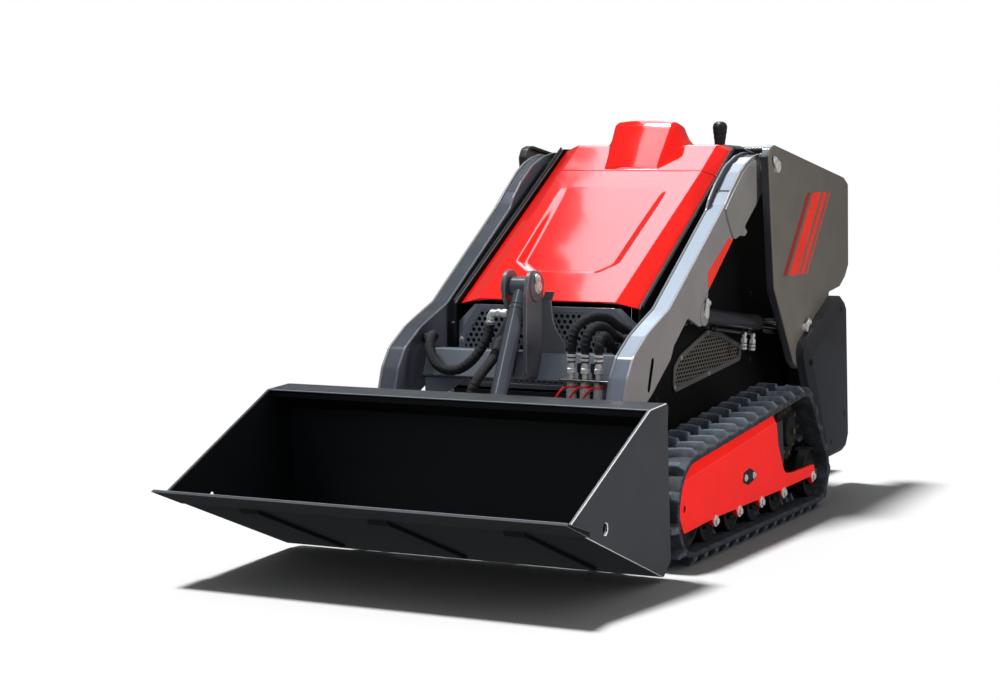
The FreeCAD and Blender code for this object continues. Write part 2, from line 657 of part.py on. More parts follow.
COUPLERS = (206, 248, 290)
BRACKET_LOW, BRACKET_TOP, COUPLER_BACK = 508, 513, -600
COUPLER_LOW, COUPLER_TOP = 450, 590
bracket = box("bracket_sheet", "arm_inner - 178", "60", str(BRACKET_TOP - BRACKET_LOW),
              "178", str(COUPLER_BACK - 30), str(BRACKET_LOW))
coupler_holes, couplers = [], []
for index, across in enumerate(COUPLERS):
    place = (str(across), COUPLER_BACK)
    coupler_holes.append(upright("coupler_hole_%d" % index, "coupler_radius + pin_fit", *place,
                                 BRACKET_LOW - 5, BRACKET_TOP + 5))
    couplers.append(fuse("coupler_%d" % index, [
        upright("coupler_body_%d" % index, "coupler_radius", *place, COUPLER_LOW, COUPLER_TOP),
        upright("coupler_nut_%d" % index, "coupler_nut", *place, BRACKET_TOP, BRACKET_TOP + 27)]))
keep(cut("coupler_bracket", bracket, coupler_holes))
keep(group("quick_couplers", couplers))

# ---------------------------------------------------------------- hydraulic cylinders

def along_cylinder(start, end):
    """Placement whose Z axis runs from start to end, both (y, z) points at x = 0."""
    way = Vector(0, end[0] - start[0], end[1] - start[1])
    return FreeCAD.Placement(Vector(0, start[0], start[1]), FreeCAD.Rotation(Vector(0, 0, 1), way)), way.Length


def cylinder_pair(name, across, start, end, barrel_radius, rod_radius, barrel_long, pin_radius, eye_radius,
                  eye_half, barrel_neck, rod_start, ports=()):
    """Barrel with its pinned eye at start, and rod with its plain eye at end."""
    placement, reach = along_cylinder(start, end)
    placement.Base.x = across

    def stage(label, radius, low, high):
        bar = doc.addObject("Part::Cylinder", label)
        bar.setExpression("Radius", ref(radius))
        bar.setExpression("Height", ref("%s - (%s)" % (high, low)))
        bar.Placement = placement.multiply(FreeCAD.Placement(Vector(0, 0, sheet_value(low)), FreeCAD.Rotation()))
        return bar

    eye = bar_across(name + "_eye", eye_radius, "0", "2*(%s)" % eye_half, str(start[0]), str(start[1]))
    eye.setExpression("Placement.Base.x", "%s - %s" % (across, ref("(%s)" % eye_half)))
    neck = stage(name + "_neck", barrel_neck, "0", "70")
    tube = stage(name + "_tube", barrel_radius, "64", barrel_long)
    bore = stage(name + "_bore", rod_radius + " + pin_fit", str(rod_start - 30), barrel_long + " + 1")
    pin = bar_across(name + "_pinhole", pin_radius + " + pin_fit", "0", "2*(%s) + 2" % eye_half,
                     str(start[0]), str(start[1]))
    pin.setExpression("Placement.Base.x", "%s - %s - 1" % (across, ref("(%s)" % eye_half)))
    barrel = cut(name + "_barrel", fuse(name + "_barrel_stock", [eye, neck, tube] + list(ports)), [bore, pin])
    rod = stage(name + "_rod_bar", rod_radius, str(rod_start), str(round(reach - 6, 3)))
    rod_eye = bar_across(name + "_rod_eye", eye_radius, "0", "2*(%s)" % eye_half, str(end[0]), str(end[1]))
    rod_eye.setExpression("Placement.Base.x", "%s - %s" % (across, ref("(%s)" % eye_half)))
    return barrel, fuse(name + "_rod", [rod, rod_eye])


def sheet_value(words):
    """Value of a number or of one size name, with an optional whole number added."""
    parts = words.split(" + ")
    return sum(float(part) if re.match(r"[-0-9.]+$", part) else getattr(S, part) for part in parts)


for name, side in SIDES:
    middle = side * (S.arm_inner + S.arm_wide / 2)
    barrel, rod = cylinder_pair(
        "lift_" + name, middle, (S.lift_foot_back, S.lift_foot_height), (S.lift_top_back, S.lift_top_height),
        "barrel_radius", "rod_radius", "lift_barrel_long", "lift_pin_radius", "eye_radius",
        "arm_wide/2 - arm_wall - side_play", "20", 94)
    keep(barrel)
    keep(rod)
PORT_RADIUS, UPPER_PORT, LOWER_PORT = 9, (-554.4, 690.6), (-686, 415)
UPPER_ELBOW, LOWER_ELBOW = (-76, 660), (-72, 446)
ports = []
for name, (back, up), (across, end) in (("upper", UPPER_PORT, UPPER_ELBOW), ("lower", LOWER_PORT, LOWER_ELBOW)):
    ports.append(bar_across("tilt_port_" + name, str(PORT_RADIUS), str(across - 4), str(-across + 4 - 20),
                            str(back), str(up)))
    closed = up + math.copysign(PORT_RADIUS + 2, up - end)
    ports.append(upright("tilt_elbow_" + name, str(PORT_RADIUS + 1), str(across), back, min(closed, end),
                         max(closed, end)))
barrel, rod = cylinder_pair(
    "tilt", 0, (S.tilt_top_back, S.tilt_top_height), (S.tilt_foot_back, S.tilt_foot_height),
    "tilt_barrel_radius", "tilt_rod_radius", "tilt_barrel_long", "tilt_pin_radius", "eye_radius + 2",
    "tilt_eye_half", "24", 110, ports)
keep(barrel)
keep(rod)

# ---------------------------------------------------------------- bucket

heel = (S.heel_back, S.heel_height)
lip = (S.lip_front, S.lip_height)
floor_along, floor_down = slope(heel, lip)
floor_normal = floor_down * -1
back_low, back_high = (-794, 50), (-829, 418)
back_top, beam_top, beam_front = (-825, 475), (-840, 484), (-957, 477)
back_along, back_normal = slope(back_low, back_high)
edge_back = shifted(lip, (floor_along, -S.edge_deep))
edge_back_top = shifted(edge_back, (floor_normal, S.edge_thick))
side_tip = shifted(lip, (floor_along, -48), (floor_normal, S.edge_thick))
SHELL_OUTLINE = [heel, back_low, back_high, back_top, beam_top, beam_front, side_tip,
                 edge_back_top, edge_back]
inner_heel = shifted(heel, (floor_along, 22), (floor_normal, S.bucket_sheet))
inner_low = shifted(back_low, (back_normal, S.bucket_sheet), (back_along, 12))
inner_top = shifted(back_high, (back_normal, S.bucket_sheet + 10))
WELL_OUTLINE = [
    inner_heel, inner_low, inner_top, (-945, 455), (-975, 520), (-1700, 520),
    shifted(lip, (floor_along, 120), (floor_normal, S.bucket_sheet))]
bucket = new_body("bucket_shell")
outline = new_sketch(bucket, "YZ_Plane", "bucket_outline")
draw(outline, SHELL_OUTLINE)
circle(outline, -1253, 205, "15.5")
pad(bucket, outline, "bucket_wide", "bucket_stock", centred=True)
well = new_sketch(bucket, "YZ_Plane", "bucket_well")
draw(well, WELL_OUTLINE)
hollow = bucket.newObject("PartDesign::Pocket", "bucket_hollow")
hollow.Profile = well
hollow.setExpression("Length", ref("bucket_wide - 2*bucket_sheet"))
hollow.Midplane = True
bucket.Tip = hollow
keep(bucket)
EDGE_PROFILE = [lip, edge_back, edge_back_top,
                shifted(lip, (floor_along, -14), (floor_normal, S.edge_thick))]
keep(cross_plate("cutting_edge", EDGE_PROFILE, "edge_wide"))
strip_front = shifted(edge_back, (floor_along, -4))
strip_back = shifted(heel, (floor_along, 60))
STRIP_PROFILE = [strip_back, strip_front, shifted(strip_front, (floor_along, -10), (floor_normal, -S.strip_thick)),
                 shifted(strip_back, (floor_along, 10), (floor_normal, -S.strip_thick))]
strips = []
for index in (-1, 0, 1):
    strip = cross_plate("wear_strip_%d" % (index + 2), STRIP_PROFILE, "strip_wide")
    strip.setExpression("Placement.Base.x", ref("strip_step*%d" % index))
    strips.append(strip)
keep(group("wear_strips", strips))

attach_foot = shifted(back_low, (back_along, 6))
attach_head = shifted(back_low, (back_along, 360))
ATTACH_PROFILE = [attach_foot, attach_head, shifted(attach_head, (back_normal, -S.attach_thick)),
                  shifted(attach_foot, (back_normal, -S.attach_thick))]
sheet_plate = cross_plate("attach_sheet", ATTACH_PROFILE, "2*attach_half")
dump_face = -794 + S.attach_thick - 8
EAR_LOW = [(dump_face, 58), (-728, 58, 21.9), (-728, 102, 21.9), (dump_face, 132)]
attach_ears = []
for name, side in SIDES:
    for where, inner in (("inner", "arm_inner - side_play - ear_thick"),
                         ("outer", "arm_inner + arm_wide + side_play")):
        attach_ears.append(side_plate("dump_ear_%s_%s" % (where, name), EAR_LOW, inner, "ear_thick", side,
                                      [(S.dump_back, S.dump_height, "dump_pin_radius + pin_fit")]))
    attach_ears.append(side_plate(
        "rod_ear_" + name,
        [(-806, 190), (-745, 218, 20), (-728, 250, 20), (-745, 282, 20), (-816, 310)],
        "tilt_eye_half + side_play", "ear_thick", side))
keep(fuse("attach_plate", [sheet_plate] + attach_ears))
rod_face = "tilt_eye_half + side_play + ear_thick"
bucket_pins = []
for name, side in SIDES:
    bucket_pins.append(side_bar("bucket_pin_" + name, "dump_pin_radius",
                                "arm_inner - side_play - ear_thick - 4",
                                "arm_wide + 2*side_play + 2*ear_thick + 8", "dump_back", "dump_height", side))
    bucket_pins.append(side_bar("rod_pin_" + name, "tilt_pin_radius", rod_face, "10",
                                "tilt_foot_back", "tilt_foot_height", side))
keep(group("bucket_pins", bucket_pins))


# ---------------------------------------------------------------- hoses

def hose(label, radius, points):
    """A tube along straight runs joined by tangent arcs as large as the runs allow."""
    corners = [Vector(*point) for point in points]
    runs = [(after - before).Length for before, after in zip(corners, corners[1:])]
    edges = []
    last = corners[0]
    tightest = None
    for index in range(1, len(corners) - 1):
        here = corners[index]
        back = (corners[index - 1] - here).normalize()
        ahead = (corners[index + 1] - here).normalize()
        half = (math.pi - back.getAngle(ahead)) / 2
        setback = 0.45 * min(runs[index - 1], runs[index])
        bend = setback / math.tan(half)
        tightest = bend if tightest is None else min(tightest, bend)
        start = here + back * setback
        end = here + ahead * setback
        middle = here + (back + ahead).normalize() * (bend / math.cos(half) - bend)
        edges += [Part.LineSegment(last, start).toShape(), Part.Arc(start, middle, end).toShape()]
        last = end
    edges.append(Part.LineSegment(last, corners[-1]).toShape())
    path = Part.Wire(edges)
    ring = Part.Wire(Part.makeCircle(radius, corners[0], corners[1] - corners[0]))
    tube = path.makePipeShell([ring], True, False)
    piece = doc.addObject("Part::Feature", label)
    piece.Shape = tube
    piece.Label = label
    error = tube.Volume / (math.pi * radius ** 2 * path.Length) - 1
    print("%s: length %.0f, tightest bend %.0f, volume off by %.4f" % (label, path.Length, tightest, error))
    return piece


AUX_TOP = COUPLER_TOP + 0.3
ARM_WALL = S.arm_inner - 0.3
HOSES = {
    "aux_hose_inner": ("aux_sleeve", [
        (COUPLERS[0], COUPLER_BACK, AUX_TOP), (COUPLERS[0], COUPLER_BACK, 630), (216, -588, 663),
        (234, -558, 684), (254, -516, 690), (268, -472, 679), (276, -432, 656), (299, -398, 640),
        (ARM_WALL, -398, 640)]),
    "aux_hose_middle": ("aux_sleeve", [
        (COUPLERS[1], COUPLER_BACK, AUX_TOP), (COUPLERS[1], COUPLER_BACK, 620), (254, -590, 649),
        (266, -562, 664), (277, -527, 659), (283, -494, 640), (286, -466, 625), (305, -446, 618),
        (ARM_WALL, -446, 618)]),
    "aux_hose_outer": ("aux_sleeve", [
        (COUPLERS[2], COUPLER_BACK, AUX_TOP), (COUPLERS[2], COUPLER_BACK, 611), (290, -588, 631),
        (290, -561, 637), (288, -531, 623), (290, -508, 599), (306, -492, 585), (ARM_WALL, -492, 585)]),
    "tilt_hose_upper": ("tilt_sleeve", [
        (UPPER_ELBOW[0], UPPER_PORT[0], UPPER_ELBOW[1] - 0.3), (-76, -555, 636), (-90, -571, 594),
        (-116, -591, 548), (-164, -600, 517), (-224, -598, 526), (-260, -582, 570), (-272, -556, 610),
        (-280, -524, 618), (-290, -496, 610), (-308, -478, 603), (-ARM_WALL, -478, 603)]),
    "tilt_hose_lower": ("tilt_sleeve", [
        (LOWER_ELBOW[0], LOWER_PORT[0], LOWER_ELBOW[1] + 0.3), (-72, -686, 472), (-62, -668, 502),
        (-57, -638, 526), (-57, -598, 544), (-62, -552, 562), (-72, -512, 586), (-80, -486, 603),
        (-80, -455.6, 603)]),
}
for label, (sleeve, points) in HOSES.items():
    keep(hose(label, getattr(S, sleeve), points))

# ---------------------------------------------------------------- export

doc.recompute()
failed = [item.Name for item in doc.Objects if "Invalid" in item.State or "Error" in item.State]
if failed:
    raise SystemExit("failed objects: " + ", ".join(failed))
os.makedirs("parts", exist_ok=True)
for piece in nodes:
    if piece.Shape.isNull() or not piece.Shape.isValid():
        raise SystemExit("bad shape: " + piece.Label)
for piece in nodes:
    piece.Shape.exportStep(os.path.join("parts", piece.Label + ".step"))
    bounds = piece.Shape.BoundBox
    print("%-20s solids %d  x %.0f..%.0f  y %.0f..%.0f  z %.0f..%.0f  %.0f cm3" % (
        piece.Label, len(piece.Shape.Solids), bounds.XMin, bounds.XMax, bounds.YMin, bounds.YMax,
        bounds.ZMin, bounds.ZMax, piece.Shape.Volume / 1000))
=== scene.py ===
import bmesh
import bpy
import numpy as np
from mathutils import Matrix, Vector, geometry


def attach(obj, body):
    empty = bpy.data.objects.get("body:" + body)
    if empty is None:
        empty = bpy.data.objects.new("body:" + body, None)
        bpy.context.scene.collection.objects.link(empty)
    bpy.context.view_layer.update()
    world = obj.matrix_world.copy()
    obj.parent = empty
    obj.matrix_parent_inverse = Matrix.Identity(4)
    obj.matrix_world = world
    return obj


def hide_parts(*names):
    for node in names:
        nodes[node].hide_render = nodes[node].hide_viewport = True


# A stand-on compact track loader. Shapes are worked out in millimetres, +Z up, the front faces -Y
# and the machine's left side is +X, and they are written to meshes in metres.
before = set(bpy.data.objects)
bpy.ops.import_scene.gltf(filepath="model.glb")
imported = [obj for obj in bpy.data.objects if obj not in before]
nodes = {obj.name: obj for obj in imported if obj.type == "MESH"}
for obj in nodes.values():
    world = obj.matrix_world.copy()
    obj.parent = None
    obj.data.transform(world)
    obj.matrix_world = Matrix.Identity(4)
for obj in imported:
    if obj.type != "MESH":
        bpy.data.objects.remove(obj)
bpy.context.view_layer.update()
mm = 0.001
print("frame loaded:", len(nodes), "nodes")

# camera

cameraSet = {
    "place": (2.615, -6.064, 1.072),
    "turn": 26.0,        # degrees from straight behind, towards +X
    "pitch": 4.66,       # degrees down
    "roll": 0.23,
    "lens": 75.6,
    "shift": (0.009, 0.003),
}


def placed(place, *axes):
    # the matrix that sets an object at a place with its own axes along three directions
    whole = np.eye(4)
    whole[:3, :3] = np.stack(axes, axis=1)
    whole[:3, 3] = place
    return Matrix(whole.tolist())


def addCamera(place, turn, pitch, roll, lens, shift):
    turn, pitch, roll = np.radians((turn, pitch, roll))
    ahead = np.array([-np.sin(turn) * np.cos(pitch), np.cos(turn) * np.cos(pitch), -np.sin(pitch)])
    right = np.array([np.cos(turn), np.sin(turn), 0.0])
    up = np.cross(right, ahead)
    across = np.cos(roll) * right + np.sin(roll) * up
    upright = np.cross(across, ahead)
    data = bpy.data.cameras.new("camera")
    data.lens, data.sensor_width = lens, 36
    data.shift_x, data.shift_y = shift
    data.clip_end = 100
    camera = bpy.data.objects.new("camera", data)
    camera.matrix_world = placed(place, across, upright, -ahead)
    bpy.context.scene.collection.objects.link(camera)
    bpy.context.scene.camera = camera


addCamera(**cameraSet)

# shader maths


class Wire:
    # one socket's value: arithmetic on it adds Math nodes to its tree
    def __init__(self, finish, socket):
        self.finish, self.socket = finish, socket

    def maths(self, operation, first, second=0.0):
        return self.finish.node("ShaderNodeMath", {"operation": operation}, {0: first, 1: second})

    def __add__(self, other):
        return self.maths("ADD", self, other)

    __radd__ = __add__

    def __sub__(self, other):
        return self.maths("SUBTRACT", self, other)

    def __rsub__(self, other):
        return self.maths("SUBTRACT", other, self)

    def __mul__(self, other):
        return self.maths("MULTIPLY", self, other)

    __rmul__ = __mul__

    def __pow__(self, other):
        return self.maths("POWER", self, other)

    def wave(self):
        return self.maths("SINE", self)

    def least(self, other):
        return self.maths("MINIMUM", self, other)

    def most(self, other):
        return self.maths("MAXIMUM", self, other)

    def ramp(self, low, high, first=0.0, last=1.0):
        # first below low, last above high, and a soft step between
        return self.finish.node("ShaderNodeMapRange", {"interpolation_type": "SMOOTHSTEP"},
                                {"Value": self, "From Min": low, "From Max": high,
                                 "To Min": first, "To Max": last})


class Finish:
    # one material and the nodes behind its shader
    def __init__(self, name, colour, roughness, metallic=0.0, coat=0.0):
        self.material = bpy.data.materials.new(name)
        self.material.use_nodes = True
        self.tree = self.material.node_tree
        self.shader = self.tree.nodes["Principled BSDF"]
        base = tuple(colour) + (1.0,)
        self.material.diffuse_color = base
        self.put("Base Color", base)
        self.put("Roughness", roughness)
        self.put("Metallic", metallic)
        self.put("Coat Weight", coat)
        self.grounds = None

    def node(self, kind, settings=(), inputs=(), out=0):
        node = self.tree.nodes.new(kind)
        for name, value in dict(settings).items():
            setattr(node, name, value)
        for name, value in dict(inputs).items():
            self.join(node.inputs[name], value)
        return Wire(self, node.outputs[out])

    def join(self, socket, value):
        if isinstance(value, Wire):
            self.tree.links.new(value.socket, socket)
        else:
            socket.default_value = value

    def put(self, name, value):
        self.join(self.shader.inputs[name], value)

    def place(self):
        # the point in the machine's own frame, in metres
        if self.grounds is None:
            self.grounds = self.node("ShaderNodeTexCoord", out="Object")
        return self.grounds

    def parts(self, vector=None):
        split = self.node("ShaderNodeSeparateXYZ", {}, {0: vector or self.place()})
        return [Wire(self, split.socket.node.outputs[index]) for index in range(3)]

    def facing(self):
        # x, y and z of the surface's normal
        return self.parts(self.node("ShaderNodeNewGeometry", out="Normal"))

    def noise(self, scale, detail=3.0, rough=0.55, vector=None):
        return self.node("ShaderNodeTexNoise", {}, {"Vector": vector or self.place(), "Scale": scale,
                                                    "Detail": detail, "Roughness": rough})

    def mix(self, factor, first, second):
        first, second = [value if isinstance(value, Wire) else tuple(value) + (1.0,)
                         for value in (first, second)]
        return self.node("ShaderNodeMix", {"data_type": "RGBA"}, {0: factor, 6: first, 7: second}, 2)

    def bump(self, height, depth):
        # depth in metres
        self.put("Normal", self.node("ShaderNodeBump", {}, {"Strength": 1.0, "Distance": depth,
                                                            "Height": height}))


def shade(colour, times):
    # the colour brighter or darker
    return tuple(value * times for value in colour)


def paint(name, colour, roughness, coat=0.0, metallic=0.0, mottle=0.06, dust=0.0, grain=0.00004,
          dustColour=(0.42, 0.41, 0.40)):
    # sprayed paint: faint cloudy colour, orange peel, and dust on what faces up
    finish = Finish(name, colour, roughness, metallic, coat)
    cloud = finish.noise(9.0, 4.0)
    colourWire = finish.mix(cloud.ramp(0.3, 0.7), shade(colour, 1 - mottle), shade(colour, 1 + mottle))
    fleck = finish.noise(140.0, 2.0)
    if dust:
        up = finish.facing()[2]
        settled = up.ramp(0.35, 0.95) * finish.noise(22.0, 5.0, 0.7).ramp(0.38, 0.72) * dust
        colourWire = finish.mix(settled, colourWire, dustColour)
        finish.put("Roughness", roughness + settled * 0.3 + fleck * 0.05)
    else:
        finish.put("Roughness", roughness + (cloud - 0.5) * 0.08 + fleck * 0.03)
    finish.put("Base Color", colourWire)
    finish.bump(finish.noise(260.0, 2.0), grain)
    return finish


def metal(name, colour, roughness, scale=120.0, grain=0.00003, metallic=1.0):
    # plated or bare metal with fine grain and faint clouds
    finish = Finish(name, colour, roughness, metallic)
    fine = finish.noise(scale)
    cloud = finish.noise(24.0)
    finish.put("Base Color", finish.mix(cloud.ramp(0.3, 0.75), shade(colour, 0.82), colour))
    finish.put("Roughness", roughness + (fine - 0.5) * 0.14 + (cloud - 0.5) * 0.1)
    finish.bump(fine, grain)
    return finish


frameGrey = paint("frameGrey", (0.021, 0.022, 0.025), 0.36, coat=0.25, dust=0.10)
armGrey = paint("armGrey", (0.195, 0.182, 0.186), 0.33, coat=0.35, dust=0.08)
# painted shade: a darker copy of the arm paint, for the tilt bracket
bracketShadeGrey = paint("bracketShadeGrey", (0.085, 0.086, 0.098), 0.34, coat=0.3, dust=0.08)
# painted sky light: a bluish grey for the faces that look forward, the front grille and the crossbeam,
# lighter than the frame paint and bluer than the arm paint
frontSkyLitGrey = paint("frontSkyLitGrey", (0.115, 0.128, 0.155), 0.42, coat=0.2, dust=0.05)
# the bucket's black paint made near black to stand in for the shade inside and under it: paint colour and
# painted shade
bucketBlackAndShade = paint("bucketBlackAndShade", (0.003, 0.004, 0.005), 0.55, dust=0.04)
bucketSide = paint("bucketSide", (0.040, 0.042, 0.048), 0.38, coat=0.2, dust=0.1)
# painted shade: near black for the chassis sides under the arms, the walls of the arms' slots and the plates
# set behind or in them
shadeBlack = paint("shadeBlack", (0.0025, 0.0026, 0.003), 0.6)
glossRed = paint("glossRed", (0.88, 0.010, 0.006), 0.075, coat=1.0, mottle=0.03, grain=0.00001)
guardRed = paint("guardRed", (0.86, 0.006, 0.002), 0.38, coat=0.1, mottle=0.04)
edgeGrey = paint("edgeGrey", (0.15, 0.155, 0.17), 0.30, coat=0.3)
# pale bare steel for the bucket's worn edges, also standing in for the highlight along them: wear and a
# painted highlight
edgeWornAndHighlight = paint("edgeWornAndHighlight", (0.66, 0.68, 0.71), 0.34)
blackSteel = paint("blackSteel", (0.010, 0.010, 0.011), 0.38, coat=0.2, dust=0.05)
zinc = metal("zinc", (0.78, 0.78, 0.76), 0.30, metallic=0.8)
brightZinc = metal("brightZinc", (0.92, 0.92, 0.91), 0.26, metallic=0.6)
chrome = metal("chrome", (0.86, 0.87, 0.88), 0.09, scale=400.0, grain=0.000004)
brass = metal("brass", (0.72, 0.50, 0.24), 0.34)
steel = metal("steel", (0.46, 0.46, 0.47), 0.38)
castMetal = Finish("castMetal", (0.10, 0.10, 0.105), 0.62, 0.7)
castMetal.bump(castMetal.noise(420.0, 4.0), 0.0003)
castMetal.put("Base Color", castMetal.mix(castMetal.noise(35.0).ramp(0.3, 0.7), (0.07, 0.07, 0.075),
                                          (0.13, 0.13, 0.135)))
blackPlastic = Finish("blackPlastic", (0.018, 0.018, 0.019), 0.48)
blackPlastic.bump(blackPlastic.noise(900.0, 2.0), 0.00008)
blackPlastic.put("Roughness", 0.44 + blackPlastic.noise(60.0) * 0.12)
blackPlastic.put("Base Color", blackPlastic.mix(blackPlastic.noise(14.0), (0.014, 0.014, 0.015),
                                                (0.024, 0.024, 0.025)))


def rubberFinish(name, colour, dustColour, dust):
    # moulded rubber with pale dust on the lugs' tops and in the hollows
    finish = Finish(name, colour, 0.62)
    patch = finish.noise(38.0, 6.0, 0.7)
    fine = finish.noise(420.0, 3.0)
    top = finish.node("ShaderNodeAttribute", {"attribute_name": "worn"}, out="Fac")
    amount = (patch.ramp(0.35, 0.75) * 0.55 + top * 0.75) * dust
    finish.put("Base Color", finish.mix(amount.least(1.0), finish.mix(fine, shade(colour, 0.8),
                                                                      shade(colour, 1.3)), dustColour))
    finish.put("Roughness", 0.55 + patch * 0.25)
    finish.bump(fine + patch * 0.6, 0.0004)
    return finish


rubber = rubberFinish("rubber", (0.014, 0.015, 0.017), (0.090, 0.112, 0.145), 0.85)


def sleeveFinish(name, colour):
    # woven sleeve: over-and-under strands along and round it, on the piece's own lengths in metres
    finish = Finish(name, colour, 0.72)
    along, around, _ = finish.parts(finish.node("ShaderNodeUVMap", out="UV"))
    first = ((along + around) * 2900.0).wave()
    second = ((along - around) * 2900.0).wave()
    weave = first.most(second) * 0.5 + 0.5
    fold = finish.noise(55.0, 3.0)
    finish.put("Base Color", finish.mix(weave.ramp(0.2, 0.9) * fold, shade(colour, 0.55), shade(colour, 1.9)))
    finish.put("Roughness", 0.62 + fold * 0.2)
    finish.bump(weave, 0.0004)
    return finish


sleeve = sleeveFinish("sleeve", (0.006, 0.006, 0.008))


def vinylFinish(name, colour):
    # vinyl with a leathery grain
    finish = Finish(name, colour, 0.46)
    cell = finish.node("ShaderNodeTexVoronoi", {"feature": "F1"}, {"Vector": finish.place(), "Scale": 620.0})
    finish.put("Roughness", 0.38 + cell * 0.3)
    finish.put("Base Color", finish.mix(finish.noise(12.0), shade(colour, 0.85), shade(colour, 1.25)))
    finish.bump(cell, 0.00035)
    return finish


vinyl = vinylFinish("vinyl", (0.022, 0.022, 0.024))
print("finishes made:", len(bpy.data.materials))

# shapes


def unit(vectors):
    return vectors / np.linalg.norm(vectors, axis=-1, keepdims=True)


def outline(corners, steps=6):
    # a closed line through corners (a, b): a third number is the radius of an arc that touches both
    # sides, whose centre lies on the corner's bisector at radius / sin(half angle)
    table = np.array([tuple(corner) + (0.0,) * (3 - len(corner)) for corner in corners], float)
    here, radius = table[:, :2], table[:, 2]
    back, ahead = unit(np.roll(here, 1, 0) - here), unit(np.roll(here, -1, 0) - here)
    half = np.arccos(np.clip((back * ahead).sum(1), -1, 1)) / 2
    setback = (radius / np.tan(half))[:, None]
    centre = here + unit(back + ahead + 1e-9) * (radius / np.sin(half))[:, None]
    start, end = here + back * setback - centre, here + ahead * setback - centre
    first, last = np.arctan2(start[:, 1], start[:, 0]), np.arctan2(end[:, 1], end[:, 0])
    sweep = (last - first + np.pi) % (2 * np.pi) - np.pi
    angle = first[:, None] + sweep[:, None] * np.linspace(0, 1, steps + 1)
    arc = centre[:, None] + radius[:, None, None] * np.stack([np.cos(angle), np.sin(angle)], -1)
    sharp = (radius == 0)[:, None] & np.ones(steps + 1, bool)
    arc = np.where(sharp[:, :, None], here[:, None], arc)
    wanted = ~sharp | (np.arange(steps + 1) == 0)[None]
    return arc[wanted]


def turned(loop):
    # the loop anticlockwise
    area = (loop[:, 0] * np.roll(loop[:, 1], -1) - np.roll(loop[:, 0], -1) * loop[:, 1]).sum()
    return loop if area > 0 else loop[::-1]


def ring(a, b, radius, count=24, first=0.0):
    # points round a circle, the first at an angle
    angle = np.arange(count) * 2 * np.pi / count + first
    return np.stack([a + radius * np.cos(angle), b + radius * np.sin(angle)], -1)


def inset(loop, amount):
    # each point moved inwards along the mitre of its two sides, amount may differ from point to point
    side = unit(np.roll(loop, -1, 0) - loop)
    normal = np.stack([side[:, 1], -side[:, 0]], -1)
    before = np.roll(normal, 1, 0)
    mitre = (normal + before) / np.maximum(1 + (normal * before).sum(1), 0.35)[:, None]
    return loop - mitre * np.broadcast_to(amount, len(loop))[:, None]


def sidewards(loop, height):
    # (y, z) loops at x = height
    return np.column_stack([np.broadcast_to(height, len(loop)), loop])


def frontwards(loop, height):
    # (x, z) loops at y = height
    return np.column_stack([loop[:, 0], np.broadcast_to(height, len(loop)), loop[:, 1]])


def upwards(loop, height):
    # (x, y) loops at z = height
    return np.column_stack([loop, np.broadcast_to(height, len(loop))])


